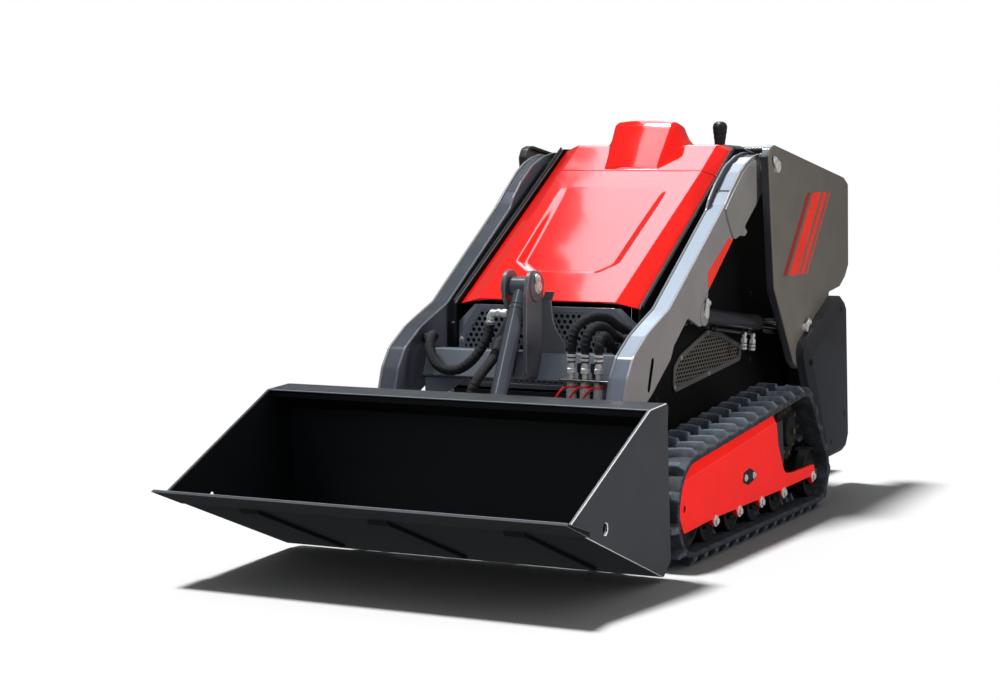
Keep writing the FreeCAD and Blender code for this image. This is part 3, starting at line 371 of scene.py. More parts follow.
class Shape:
    # gathers the points and faces of one piece
    def __init__(self):
        self.points, self.faces, self.marks, self.values, self.count = [], [], [], [], 0

    def add(self, points, faces, mark=0, value=0.0):
        points = np.asarray(points, float).reshape(-1, 3)
        faces = (np.asarray(faces) + self.count).tolist()
        self.points.append(points)
        self.values.append(np.broadcast_to(value, len(points)))
        self.faces += faces
        self.marks.append(np.full(len(faces), mark))
        self.count += len(points)

    def grid(self, points, wrapRows=False, wrapColumns=False, mark=0, value=0.0):
        # quads between neighbours of a grid of points, joined round where it wraps
        rows, columns = points.shape[:2]
        a = np.arange(rows if wrapRows else rows - 1)[:, None]
        b = np.arange(columns if wrapColumns else columns - 1)[None, :]
        nextA, nextB = (a + 1) % rows, (b + 1) % columns
        quads = np.stack(np.broadcast_arrays(a * columns + b, nextA * columns + b,
                                             nextA * columns + nextB, a * columns + nextB), -1)
        value = np.broadcast_to(value, points.shape[:2]).reshape(-1) if np.ndim(value) else value
        self.add(points, quads.reshape(-1, 4), mark, value)

    def loft(self, rings, mark=0, caps=(True, True), value=0.0):
        # closed rings of equal length joined one to the next, with flat ends
        rings = np.asarray(rings, float)
        self.grid(rings, wrapColumns=True, mark=mark, value=value)
        ends = [rings[index] for index, wanted in zip((0, -1), caps) if wanted]
        for end in ends:
            self.add(end, [np.arange(len(end))], mark)

    def plate(self, loops, low, high, lay=sidewards, bevel=1.2, mark=0, edge=None, holeMark=None):
        # loops carried straight from low to high with the corners taken off; the first is the outside
        # and the rest are holes, whose walls may have a material of their own
        loops = [turned(np.asarray(loops[0]))] + [turned(np.asarray(hole))[::-1] for hole in loops[1:]]
        edge = mark if edge is None else edge
        faces = [[], []]
        for number, loop in enumerate(loops):
            wall = holeMark if number and holeMark is not None else mark
            rings = [lay(inset(loop, bevel), low), lay(loop, low + bevel),
                     lay(loop, high - bevel), lay(inset(loop, bevel), high)]
            self.grid(np.array(rings[:2]), wrapColumns=True, mark=edge)
            self.grid(np.array(rings[1:3]), wrapColumns=True, mark=wall)
            self.grid(np.array(rings[2:]), wrapColumns=True, mark=edge)
            faces[0].append(rings[0])
            faces[1].append(rings[3])
        for rings in faces:
            if len(rings) == 1:
                self.add(rings[0], [np.arange(len(rings[0]))], mark)
            else:
                triangles = geometry.tessellate_polygon([ring.tolist() for ring in rings])
                self.add(np.concatenate(rings), triangles, mark)

    def lathe(self, profile, start, way, count=32, mark=0):
        # radii (along, radius) turned round a line through start; the first and last are closed flat
        profile = np.asarray(profile, float)
        way = unit(np.asarray(way, float))
        helper = np.array([0, 0, 1.0]) if abs(way[2]) < 0.9 else np.array([1.0, 0, 0])
        first = unit(np.cross(way, helper))
        second = np.cross(way, first)
        angle = (np.arange(count) + 0.5) * 2 * np.pi / count
        around = np.cos(angle)[:, None] * first + np.sin(angle)[:, None] * second
        along, radius = profile.T[:, :, None, None]
        self.loft(np.asarray(start, float) + along * way + radius * around, mark)

    def tube(self, path, radius, count=12, mark=0):
        # a ring carried along a line of points, its frame kept from twisting from one to the next
        path = np.asarray(path, float)
        way = unit(np.gradient(path, axis=0))
        first = frames(way)
        second = np.cross(way, first)
        angle = np.arange(count) * 2 * np.pi / count
        around = np.cos(angle)[:, None] * first[:, None] + np.sin(angle)[:, None] * second[:, None]
        self.loft(path[:, None] + radius * around, mark)

    def mirror(self):
        # the same again on the machine's other side
        whole, faces, marks = np.concatenate(self.points), self.faces, np.concatenate(self.marks)
        values, count = np.concatenate(self.values), self.count
        self.points, self.values = [whole, whole * (-1, 1, 1)], [values, values]
        self.faces = faces + [[index + count for index in face[::-1]] for face in faces]
        self.marks = [marks, marks]
        self.count = 2 * count
        return self

    def write(self, name, finishes, body, slot, replaces=(), smooth=32):
        # smooth is the angle in degrees up to which neighbouring faces are shaded as one surface
        mesh = bpy.data.meshes.new(name)
        mesh.from_pydata((np.concatenate(self.points) * mm).tolist(), [], self.faces)
        for finish in finishes:
            mesh.materials.append(finish.material)
        mesh.polygons.foreach_set("material_index", np.concatenate(self.marks).astype(np.int32))
        worn = mesh.attributes.new("worn", "FLOAT", "POINT")
        worn.data.foreach_set("value", np.concatenate(self.values).astype(np.float32))
        work = bmesh.new()
        work.from_mesh(mesh)
        bmesh.ops.remove_doubles(work, verts=work.verts, dist=0.00001)
        bmesh.ops.recalc_face_normals(work, faces=work.faces)
        work.to_mesh(mesh)
        work.free()
        mesh.shade_smooth()
        mesh.set_sharp_from_angle(angle=np.radians(smooth))
        mesh.validate()
        piece = bpy.data.objects.new(name, mesh)
        bpy.context.scene.collection.objects.link(piece)
        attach(piece, body)
        if replaces:
            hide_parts(*([replaces] if isinstance(replaces, str) else replaces))
        return piece


def frames(way):
    # a normal for each direction of a line, each the last one with its share along the line taken off
    helper = np.array([1.0, 0, 0]) if abs(way[0][0]) < 0.8 else np.array([0, 0, 1.0])
    normals = [unit(np.cross(way[0], helper))]
    for ahead in way[1:]:
        last = normals[-1]
        normals.append(unit(last - ahead * (last @ ahead)))
    return np.array(normals)


def softStep(value, low, high):
    t = np.clip((value - low) / (high - low), 0, 1)
    return t * t * (3 - 2 * t)


def slopeOf(start, end):
    # the direction from start to end and the one a quarter turn anticlockwise from it
    along = unit(np.subtract(end, start).astype(float))
    return along, np.array([-along[1], along[0]])


def finishNode(name, finish):
    # a CAD node that keeps its shape and gets a better material
    data = nodes[name].data
    data.materials.clear()
    data.materials.append(finish.material)


def bolt(shape, centre, way, size, head, washer, mark=0):
    # washer and hexagon head with a rounded top, size is half the head's width across corners and the
    # washer is given in sizes
    shape.lathe([(-2, size * washer), (1.6, size * washer), (2.4, size * washer - 1)], centre, way, 24, mark)
    hexagon = [(1.0, size), (head - 1.6, size), (head, size * 0.84), (head + 0.2, size * 0.3)]
    shape.lathe(hexagon, centre, way, 6, mark)


def crimps(shape, start, way, places, neck, radius, wide, count, mark=0):
    # the crimped bands of a hose's fitting, each rounded off from radius to neck
    for low in places:
        shape.lathe([(low, neck), (low + 0.8, radius), (low + wide, radius), (low + wide + 0.8, neck)], start,
                    way, count, mark)


def roundedBox(left, right, low, high, radius, steps):
    return outline([(left, low, radius), (right, low, radius), (right, high, radius), (left, high, radius)],
                   steps)


def roundedEdge(distance, radius):
    # how far a surface drops at a distance from an edge that is rounded off
    return radius * (1 - np.sqrt(1 - (1 - np.clip(distance / radius, 0, 1)) ** 2))


# hydraulic hoses, made first of all the pieces

hoses = {
    "auxHoseInner": {"node": "aux_hose_inner", "radius": 0.015, "length": 0.332, "body": "arms", "points": [
        (0.206, -0.600, 0.5903), (0.206, -0.600, 0.630), (0.216, -0.588, 0.663), (0.234, -0.558, 0.684),
        (0.254, -0.516, 0.690), (0.268, -0.472, 0.679), (0.276, -0.432, 0.656), (0.299, -0.398, 0.640),
        (0.3347, -0.398, 0.640)]},
    "auxHoseMiddle": {"node": "aux_hose_middle", "radius": 0.015, "length": 0.255, "body": "arms", "points": [
        (0.248, -0.600, 0.5903), (0.248, -0.600, 0.620), (0.254, -0.590, 0.649), (0.266, -0.562, 0.664),
        (0.277, -0.527, 0.659), (0.283, -0.494, 0.640), (0.286, -0.466, 0.625), (0.305, -0.446, 0.618),
        (0.3347, -0.446, 0.618)]},
    "auxHoseOuter": {"node": "aux_hose_outer", "radius": 0.015, "length": 0.188, "body": "arms", "points": [
        (0.290, -0.600, 0.5903), (0.290, -0.600, 0.611), (0.290, -0.588, 0.631), (0.290, -0.561, 0.637),
        (0.288, -0.531, 0.623), (0.290, -0.508, 0.599), (0.306, -0.492, 0.585), (0.3347, -0.492, 0.585)]},
    "tiltHoseUpper": {"node": "tilt_hose_upper", "radius": 0.016, "length": 0.461, "body": "tilt_barrel",
                      "points": [
        (-0.076, -0.5544, 0.6597), (-0.076, -0.555, 0.636), (-0.090, -0.571, 0.594), (-0.116, -0.591, 0.548),
        (-0.164, -0.600, 0.517), (-0.224, -0.598, 0.526), (-0.260, -0.582, 0.570), (-0.272, -0.556, 0.610),
        (-0.280, -0.524, 0.618), (-0.290, -0.496, 0.610), (-0.308, -0.478, 0.603), (-0.3347, -0.478, 0.603)]},
    "tiltHoseLower": {"node": "tilt_hose_lower", "radius": 0.016, "length": 0.302, "body": "tilt_barrel",
                      "points": [
        (-0.072, -0.686, 0.4463), (-0.072, -0.686, 0.472), (-0.062, -0.668, 0.502), (-0.057, -0.638, 0.526),
        (-0.057, -0.598, 0.544), (-0.062, -0.552, 0.562), (-0.072, -0.512, 0.586), (-0.080, -0.486, 0.603),
        (-0.080, -0.4556, 0.603)]},
}


def pointsOf(mesh):
    # the mesh's points as rows
    spots = np.empty(len(mesh.vertices) * 3)
    mesh.vertices.foreach_get("co", spots)
    return spots.reshape(-1, 3)


def routeLine(name, points):
    # the hose's smooth line, read from its NURBS spline in order from end to end
    curve = bpy.data.curves.new(name + "Route", "CURVE")
    curve.dimensions = "3D"
    curve.resolution_u = 24
    spline = curve.splines.new("NURBS")
    spline.points.add(len(points) - 1)
    spline.points.foreach_set("co", np.column_stack([points, np.ones(len(points))]).ravel())
    spline.order_u = 3
    spline.use_endpoint_u = True
    guide = bpy.data.objects.new(name + "Route", curve)
    mesh = bpy.data.meshes.new_from_object(guide)
    line = pointsOf(mesh)
    bpy.data.objects.remove(guide)
    bpy.data.curves.remove(curve)
    bpy.data.meshes.remove(mesh)
    return line


def evenly(line, step):
    # the same line with its points a step apart
    reach = np.concatenate([[0], np.cumsum(np.linalg.norm(np.diff(line, axis=0), axis=1))])
    place = np.linspace(0, reach[-1], int(reach[-1] / step) + 1)
    return np.column_stack([np.interp(place, reach, column) for column in line.T]), place


def sleevedHose(name, node, radius, length, body, points, around=28):
    # a tube along the route; its radius shrinks and swells in slanting folds of uneven strength,
    # radius * (0.92 + 0.1 * folds), and its sleeve is gathered over the fitting at the start
    line, reach = evenly(routeLine(name, points), 0.0014)    # points 1.4 mm apart
    way = unit(np.gradient(line, axis=0))
    first = frames(way)
    second = np.cross(way, first)
    angle = np.arange(around) * 2 * np.pi / around
    along, turn = np.meshgrid(reach, angle, indexing="ij")
    phase = 7.0 * len(name) + 40 * radius    # sets one hose's folds apart from the next one's
    slant = along * 430 + 0.9 * np.sin(turn + along * 37 + phase)
    folds = 0.5 * np.sin(slant + 1.3 * np.sin(along * 61 + phase))
    folds = folds + 0.3 * np.sin(along * 790 + 2 * turn + phase)
    strength = 0.45 + 0.55 * np.sin(along * 47 + phase) * np.sin(turn + along * 29)
    ends = softStep(along, 0, 0.012) * softStep(reach[-1] - along, 0, 0.006)
    size = radius * (0.92 + 0.10 * folds * strength * ends - 0.08 * (1 - ends))
    tube = line[:, None] + size[..., None] * (np.cos(turn)[..., None] * first[:, None]
                                              + np.sin(turn)[..., None] * second[:, None])
    shape = Shape()
    shape.loft(tube / mm)
    piece = shape.write(name, [sleeve], body, "hose_sleeve", node, smooth=80)
    # the sleeve's weave follows lengths along and round the hose, in metres, from the nearest place on it
    layer = piece.data.uv_layers.new(name="lengths")
    corner = np.empty(len(piece.data.loops), np.int32)
    piece.data.loops.foreach_get("vertex_index", corner)
    spot = pointsOf(piece.data)
    nearest = ((spot[:, None, :] - line[None, ::4, :]) ** 2).sum(2).argmin(1) * 4
    nearest = np.minimum(nearest, len(line) - 1)
    out = spot - line[nearest]
    turnOf = np.arctan2((out * second[nearest]).sum(1), (out * first[nearest]).sum(1))
    lengths = np.column_stack([reach[nearest] + (out * way[nearest]).sum(1), turnOf * radius])
    layer.data.foreach_set("uv", lengths[corner].ravel())
    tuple(points[0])


for name, facts in hoses.items():
    sleevedHose(name, **facts)
print("hoses made:", len(hoses))

# tracks

trackSet = {
    "turns": [(-572, 166, 166), (598, 120, 120), (422, 273, 152)],   # y, z and outer radius of each turn
    "lugHigh": 22,
    "band": 16,
    "middle": 490,        # x of the track's centre
    "half": 90,
    "lugs": 36,           # lugs in each of the two rows
    "lugTop": 18,         # widths of a lug along the track
    "lugBase": 37,
    "guides": 54,
}


def beltPath(turns, shrink):
    # a taut belt round circles: straight runs touch two circles, arcs follow one; gives its length and
    # a function from distances along it to points and outward normals
    turns = np.array(turns, float) - (0, 0, shrink)
    following = np.roll(turns, -1, 0)
    step = following[:, :2] - turns[:, :2]
    leave = np.arctan2(step[:, 1], step[:, 0]) - np.arccos((turns[:, 2] - following[:, 2])
                                                          / np.linalg.norm(step, axis=1))
    leave = np.unwrap(leave)
    arrive = np.roll(leave, 1)
    arrive[0] -= 2 * np.pi
    angle = arrive[:, None] + (leave - arrive)[:, None] * np.linspace(0, 1, 49)
    normal = np.stack([np.cos(angle), np.sin(angle)], -1)
    place = turns[:, None, :2] + turns[:, 2][:, None, None] * normal
    place, angle = place.reshape(-1, 2), angle.ravel()
    place = np.vstack([place, place[:1]])
    angle = np.append(angle, angle[0] + 2 * np.pi)
    reach = np.concatenate([[0], np.cumsum(np.linalg.norm(np.diff(place, axis=0), axis=1))])

    def at(distance):
        distance = np.asarray(distance, float) % reach[-1]
        where = np.stack([np.interp(distance, reach, column) for column in place.T], -1)
        facing = np.interp(distance, reach, angle)
        return where, np.stack([np.cos(facing), np.sin(facing)], -1)

    return reach[-1], at


def trackShape(turns, lugHigh, band, middle, half, lugs, lugTop, lugBase, guides):
    shape = Shape()
    total, at = beltPath(turns, lugHigh)
    distance = np.linspace(0, total, 300, endpoint=False)
    where, facing = at(distance)
    # the band: (across, height) round its edge, with thin rounded rims and shallow grooves
    section = np.array([(-90, -5), (-87, -1), (-80, 0), (-6, 0), (0, -2), (6, 0), (80, 0), (87, -1), (90, -5),
                        (90, -12), (86, -16), (30, -16), (22, -12), (-22, -12), (-30, -16), (-86, -16),
                        (-90, -12)], float) * (half / 90, band / 16)
    spot = where[:, None] + facing[:, None] * section[None, :, 1:]
    points = np.concatenate([np.broadcast_to(middle + section[:, 0], spot.shape[:2])[..., None], spot], -1)
    shape.grid(points, True, True, value=0.05)
    # lugs: stations along a kinked line (across, along) carry a section (along, height, worn)
    line = np.array([(4, 15), (9, 13), (44, -9), (75, -9), (90, -9)], float)
    narrow = np.array([0.72, 1, 1, 1.0, 1.08])
    tall = np.array([0.55, 1, 1, 1.0, 0.30])
    base, top = lugBase / 2, lugTop / 2
    section = np.array([(-base, -3, 0), (-top, lugHigh - 2.5, 0.5), (-top + 3, lugHigh, 1),
                        (top - 3, lugHigh, 1), (top, lugHigh - 2.5, 0.5), (base, -3, 0)])
    for side, shift in ((1, 0.0), (-1, 0.5)):
        start = (np.arange(lugs) + shift) * total / lugs
        along = start[:, None, None] + line[:, None, 1] + narrow[:, None] * section[None, :, 0]
        lift = np.where(section[:, 1] > 0, section[:, 1] * tall[:, None], -3)
        where, facing = at(along)
        spot = where + facing * np.broadcast_to(lift, along.shape)[..., None]
        across = np.broadcast_to(middle + side * line[None, :, None, 0], along.shape)
        points = np.concatenate([across[..., None], spot], -1)
        worn = np.broadcast_to(section[:, 2], points.shape[1:3])
        for lug in points:
            shape.grid(lug, value=worn, wrapColumns=True)
            shape.add(lug[0], [np.arange(6)], value=worn[0])
            shape.add(lug[-1], [np.arange(6)], value=worn[-1])
    # guide horns on the inside: blocks that narrow as they stand up
    insideTotal, inside = beltPath(turns, lugHigh + band - 4)
    start = np.arange(guides) * insideTotal / guides
    corner = np.array([(-1, -1), (1, -1), (1, 1), (-1, 1)], float)
    rings = []
    for wide, long, drop in ((20, 11, 0), (11, 6, -20)):
        where, facing = inside(start[:, None] + corner[None, :, 1] * long)
        spot = where + facing * drop
        across = np.broadcast_to(middle + corner[:, 0] * wide, spot.shape[:2])
        rings.append(np.concatenate([across[..., None], spot], -1))
    for base, tip in zip(*rings):
        shape.loft([base, tip], value=0.5)
    return shape


for side in ("left", "right"):
    shape = trackShape(**trackSet)
    if side == "right":
        shape.points = [points * (-1, 1, 1) for points in shape.points]
    shape.write("trackBelt_" + side, [rubber], "chassis", "track_rubber", "track_" + side, smooth=40)
print("tracks made")

wheelSet = {
    "middle": 490,
    "rollerRadius": 61,
    "rollerFirst": -388,
    "rollerPitch": 206,
    "rollerHeight": 99.5,
    "front": (-572, 166, 128),
    "rear": (598, 120, 82),
    "sprocket": (422, 273, 113),
}


def wheelProfile(radius, hub):
    # rim, groove for the guide horns, dished faces and the hub, from one face to the other
    face = [(57, hub * 0.55), (57, hub), (44, hub + 2), (44, radius - 13), (55, radius - 9), (55, radius - 2),
            (53, radius), (25, radius), (22, radius - 3), (20, radius - 23)]
    return [(-along, height) for along, height in face] + face[::-1]


def trackWheels(middle, rollerRadius, rollerFirst, rollerPitch, rollerHeight, front, rear, sprocket):
    rollers = Shape()
    profile = wheelProfile(rollerRadius, 24)
    for back in rollerFirst + rollerPitch * np.arange(4):
        rollers.lathe(profile[:3], (middle, back, rollerHeight), (1, 0, 0), 32, 1)
        rollers.lathe(profile, (middle, back, rollerHeight), (1, 0, 0), 48, 0)
        rollers.lathe([(-63, 15), (72, 15)], (middle, back, rollerHeight), (1, 0, 0), 20, 1)
    rollers.mirror().write("trackRollers", [rollerBlack, steel], "chassis", "cast_metal", "track_rollers")
    for name, node, (back, up, radius) in (("frontIdlers", "front_idlers", front),
                                           ("rearIdlers", "rear_idlers", rear)):
        idler = Shape()
        idler.lathe(wheelProfile(radius, 40), (middle, back, up), (1, 0, 0), 72)
        idler.lathe([(-63, 15), (72, 15)], (middle, back, up), (1, 0, 0), 20, 1)
        # the larger one shows six dark pockets in each face
        if radius > 100:
            for y, z in ring(back, up, 74, 6, 0.4):
                idler.lathe([(-45.5, 16), (-45.5, 20), (45.5, 20), (45.5, 16)], (middle, y, z), (1, 0, 0), 20,
                            2)
        idler.mirror().write(name, [rollerBlack, steel, blackSteel], "chassis", "cast_metal", node)
    # sprocket: a toothed ring whose radius swings between root and tip, with a bolted hub
    back, up, radius = sprocket
    teeth = Shape()
    count, deep = 17, 16
    angle = np.arange(count * 12) * 2 * np.pi / (count * 12)
    reach = radius - deep + deep * softStep(np.cos(angle * count), -0.5, 0.6)
    loop = np.stack([back + reach * np.cos(angle), up + reach * np.sin(angle)], -1)
    teeth.plate([loop, ring(back, up, 58, 48)], middle - 14, middle + 14, bevel=2)
    for y, z in ring(back, up, 74, 9):
        bolt(teeth, (middle + 24, y, z), (1, 0, 0), 8, 8, 1.3, 1)
    teeth.lathe([(-25, 40), (-25, 95), (20, 95), (24, 91), (24, 52), (40, 50), (44, 44), (44, 12)],
                (middle, back, up), (1, 0, 0), 56, 0)
    teeth.lathe([(40, 10), (52, 10), (54, 8)], (middle, back, up), (1, 0, 0), 6, 1)
    teeth.mirror().write("driveSprockets", [rollerBlack, brass], "chassis", "cast_metal", "drive_sprockets")


rollerBlack = paint("rollerBlack", (0.010, 0.010, 0.011), 0.45, dust=0.3, dustColour=(0.10, 0.105, 0.11))
trackWheels(**wheelSet)

# red guards over the rollers

guardSet = {
    "outer": [(-640, 99, 12), (-678, 150, 20), (-686, 198, 16), (-652, 246, 12), (158, 332, 10),
              (174, 262, 60), (246, 160, 60), (330, 152), (549, 152, 5), (566, 128, 10), (552, 93, 12),
              (532, 93, 12), (520, 116, 12), (262, 112, 12), (250, 87, 10), (224, 87, 10), (212, 111, 12),
              (47, 111, 12), (35, 87, 10), (9, 87, 10), (-3, 110, 12), (-158, 110, 12), (-170, 86, 10),
              (-196, 86, 10), (-208, 109, 12), (-362, 109, 12), (-375, 87, 10), (-401, 87, 10),
              (-413, 108, 12)],
    "inside": 556,
    "outside": 570,
    "band": [(-668, 236), (-648, 247), (-560, 256), (150, 329)],    # the top edge that a band slopes in from
    "bandRise": 36,       # how far the band rises and leans in
    "bandIn": 17,
    "slot": (-640, 168, 11),
    "boss": [(-188, 213, 12), (-158, 234, 12), (-72, 221, 12), (-62, 178, 12), (-150, 166, 12)],
    "badgePlate": [(-152, 210, 9), (-100, 219, 9), (-42, 199, 9), (-40, 182, 9), (-110, 168, 9),
                   (-162, 183, 9)],
    "badgeBolts": [(-138, 194), (-64, 193)],
    "axleBolts": [(-388, 100), (-183, 99.5), (22, 99.5), (237, 99.5), (541, 114)],
}


def trackGuards(outer, inside, outside, band, bandRise, bandIn, slot, boss, badgePlate, badgeBolts,
                axleBolts):
    shape = Shape()
    # the guard's and the boss's bevelled edges take a paler red: a painted highlight along them
    shape.plate([outline(outer, 5), ring(*slot)], inside, outside, bevel=1.2, edge=1)
    section = np.array([(outside - 0.6, 0), (outside - bandIn, bandRise), (outside - bandIn - 4, bandRise),
                        (outside - 10, -3)], float)
    shape.loft([np.column_stack([section[:, 0], np.full(4, back), up + section[:, 1]]) for back, up in band])
    shape.plate([outline(boss, 4)], outside - 1, outside + 1.6, bevel=0.8, edge=1)
    shape.plate([outline(badgePlate, 4)], outside - 1, outside + 3.2, bevel=0.8, mark=2)
    for back, up in badgeBolts:
        bolt(shape, (outside + 3, back, up), (1, 0, 0), 7.5, 6, 1.45, 3)
    for back, up in axleBolts:
        bolt(shape, (outside, back, up), (1, 0, 0), 11.5, 9, 1.5, 3)
    finishes = [guardRed, guardEdgeHighlight, blackSteel, brightZinc]
    piece = shape.mirror().write("trackGuards", finishes, "chassis", "guard_red",
                                 ("track_guard_left", "track_guard_right"), smooth=24)
    piece.visible_diffuse = False    # throws no red light on the floor


# painted highlight: a paler, pinker red for the guards' bevelled edges
guardEdgeHighlight = paint("guardEdgeHighlight", (0.88, 0.070, 0.040), 0.30, coat=0.5)
trackGuards(**guardSet)
for name in ("track_frame_left", "track_frame_right", "belly_plate", "front_bulkhead", "rear_panel"):
    finishNode(name, frameGrey)
for name in ("platform_hinges", "attach_plate"):
    finishNode(name, blackSteel)
for name in ("drive_motors", "engine_block"):
    finishNode(name, castMetal)
print("running gear made")

# lift arms

armSet = {
    "outerTop": [(-316, 703), (150, 1004, 30), (196, 1042, 60), (289, 1108, 120), (347, 1137, 90),
                 (406, 1156, 90), (467, 1166, 60), (548, 1166, 50)],
    "innerTop": [(-316, 703), (126, 988, 20), (150, 1022, 30), (211, 1074, 90), (294, 1127, 90),
                 (390, 1160, 90), (469, 1172, 60), (548, 1172, 50)],
    "under": [(548, 1072, 58), (438, 996, 30), (250, 894, 10), (227, 897), (4, 741, 12), (-3, 650, 24),
              (-62, 634, 24)],
    "fillUnder": [(548, 1072, 58), (438, 996, 30), (250, 894, 10), (227, 897), (24, 754), (-56, 744),
                  (-76, 722), (-77, 640)],
    "front": [(-168, 668, 30), (-280, 593, 20), (-307, 554, 20), (-459, 459, 60), (-600, 400, 60), (-722, 92),
              (-722, 48, 27), (-779, 48, 27), (-779, 112), (-659, 456, 30), (-637, 524, 40), (-592, 582, 60),
              (-497, 636, 60), (-425, 664, 40)],
    "inner": 335,
    "outer": 395,
    "thick": 8,
    "proud": 3,
    "cover": [(141, 990), (165, 951), (215, 899, 6), (236, 896), (276, 905), (330, 902, 8), (320, 936, 4),
              (424, 1000, 10), (432, 1016, 6), (421, 1150, 10), (347, 1128), (289, 1098), (196, 1033)],
    "accent": [(-2, 798), (4, 747, 3), (14, 750), (223, 894), (183, 899)],
    "slot": (-463.5, 520, 40, 11),
    "pins": [((492, 1125), 44), ((-30, 671), 36), ((-750, 80), 27)],
}


def liftArms(outerTop, innerTop, under, fillUnder, front, inner, outer, thick, proud, cover, accent, slot,
             pins):
    shape = Shape()
    # the slot: two half circles on a leaning line
    back, up, tall, half = slot
    way, aside = slopeOf((0, 0), (29, 86))
    turn = np.linspace(-np.pi / 2, np.pi / 2, 9)
    end = way * tall + half * (np.sin(turn)[:, None] * aside + np.cos(turn)[:, None] * way)
    hollow = np.vstack([end, -end]) + (back, up)
    # the slot's walls are near black: painted shade in the slot
    shape.plate([outline(outerTop + under + front, 8), hollow], outer - thick, outer, bevel=1.2, edge=1,
                holeMark=3)
    # the inner plates take a darker, bluer copy of the arm paint: painted shade between the arms
    shape.plate([outline(innerTop + under + front, 8)], inner, inner + thick, bevel=2.0, edge=1, mark=7)
    # the sheet that closes each arm between its plates, over its top and underside, is painted a lighter
    # bluish grey: a painted reflection of the sky on the arm's top
    filled = inset(turned(outline(outerTop + fillUnder + front, 8)), proud)
    shape.plate([filled], inner + thick - 0.5, outer - thick + 0.5, bevel=0.4, mark=2)
    # a near-black plate just behind the slot: painted shade
    shape.plate([inset(turned(hollow), -3)], outer - thick, outer - thick + 1, bevel=0.2, mark=3)
    shape.plate([outline(cover, 4)], outer - 1, outer + 6.5, bevel=1.2, mark=6, edge=1)
    shape.plate([outline(accent, 4)], outer - 0.5, outer + 0.7, bevel=0.2, mark=4)
    # bosses round the pins, and a narrow slot across the top sheet, drawn as a near-black plate: painted
    # shade
    for (back, up), radius in pins:
        for face, out in ((outer, 1), (inner, -1)):
            shape.lathe([(-1, radius), (2.4, radius - 0.3), (3.2, radius - 1.6), (3.2, radius * 0.5)],
                        (face, back, up), (out, 0, 0), 40, 0)
    bolt(shape, (outer + 2.4, 326, 916), (1, 0, 0), 8, 6, 1.4, 5)
    shape.plate([np.array([(204, 1044.6), (210.4, 1049.3), (215, 1042.8), (208.5, 1038.1)])], inner + thick,
                outer - thick, bevel=0.2, mark=3)
    finishes = [armGrey, edgeGrey, armTopReflection, shadeBlack, stripeRed, zinc, coverGrey, armInsideShade]
    shape.mirror().write("liftArms", finishes, "arms", "arm_grey", ("arm_left", "arm_right"), smooth=24)


# painted shade: a darker copy of the arm paint for the arms' inner plates
armInsideShade = paint("armInsideShade", (0.060, 0.066, 0.085), 0.34, coat=0.35, dust=0.08)
coverGrey = paint("coverGrey", (0.18, 0.175, 0.172), 0.30, coat=0.45, dust=0.1)
# painted reflection: the arm paint made lighter, bluer and metallic for the arms' top sheet, standing in for
# the sky mirrored on it
armTopReflection = paint("armTopReflection", (0.125, 0.140, 0.172), 0.14, coat=1.0, metallic=0.6)
stripeRed = paint("stripeRed", (0.70, 0.028, 0.012), 0.40, coat=0.3)
stripeDark = paint("stripeDark", (0.26, 0.018, 0.012), 0.42, coat=0.3)
liftArms(*armSet.values())


def flagPin(shape, centre, radius, reach, head, flagTurn, long):
    # a plain pin along x with a chamfered end, and a flag plate turned by flagTurn and held by one bolt
    centre, way = np.asarray(centre, float), np.array((1.0, 0, 0))
    shape.lathe([(-reach, radius - 2), (-reach + 2, radius), (head - 2, radius), (head, radius - 2.5),
                 (head, radius * 0.25), (head - 3, radius * 0.2)], centre, way, 32)
    up = np.array([0, np.cos(flagTurn), np.sin(flagTurn)])
    angle = np.linspace(np.pi / 2, 3 * np.pi / 2, 11)
    end = np.column_stack([np.cos(angle), np.sin(angle)])
    flat = np.vstack([end * radius, (long, 0) - end * 12])
    loop = flat[:, :1] * up[1:] + flat[:, 1:] * np.array([-up[2], up[1]]) + centre[1:]
    face = centre[0] + head - 7
    shape.plate([loop], face, face + 5, bevel=0.8)
    bolt(shape, centre + up * (long - 2) + way * (head - 3), way, 8, 7, 1.35)


pinSet = {
    "armPivotPins": {"centre": (395, 492, 1125), "radius": 20, "reach": 98, "head": 61, "flagTurn": 2.6,
                     "long": 42},
    "liftPins": {"centre": (395, -30, 671), "radius": 14, "reach": 62, "head": 13, "flagTurn": 1.3,
                 "long": 38},
    "liftAnchors": {"centre": (446, 809, 583), "radius": 14, "reach": 60, "head": 13, "flagTurn": 0.5,
                    "long": 36},
    "tiltPin": {"centre": (45.5, -495, 767), "radius": 14.5, "reach": 98, "head": 13, "flagTurn": 2.0,
                "long": 30},
}
for name, node, body in (("armPivotPins", "arm_pivot_pins", "chassis"), ("liftPins", "lift_pins", "arms")):
    pins = Shape()
    flagPin(pins, **pinSet[name])
    pins.mirror().write(name, [brightZinc], body, "zinc", node)
# a boss on the chassis side and one on the tower plate hold the lift cylinder's pin between them
anchors = Shape()
for start, out, reach in ((308, 1, 34.5), (438, -1, 48.5)):
    anchors.lathe([(-1, 27), (reach - 2, 27), (reach, 25), (reach, 10)], (start, 809, 583), (out, 0, 0), 40,
                  1)
anchors.lathe([(0, 14), (22, 14), (22, 6)], (438, 809, 583), (1, 0, 0), 24)
flagPin(anchors, **pinSet["liftAnchors"])
anchors.mirror().write("liftAnchors", [brightZinc, armGrey], "chassis", "zinc", "lift_anchors")
print("lift arms made")

# towers and rear guards

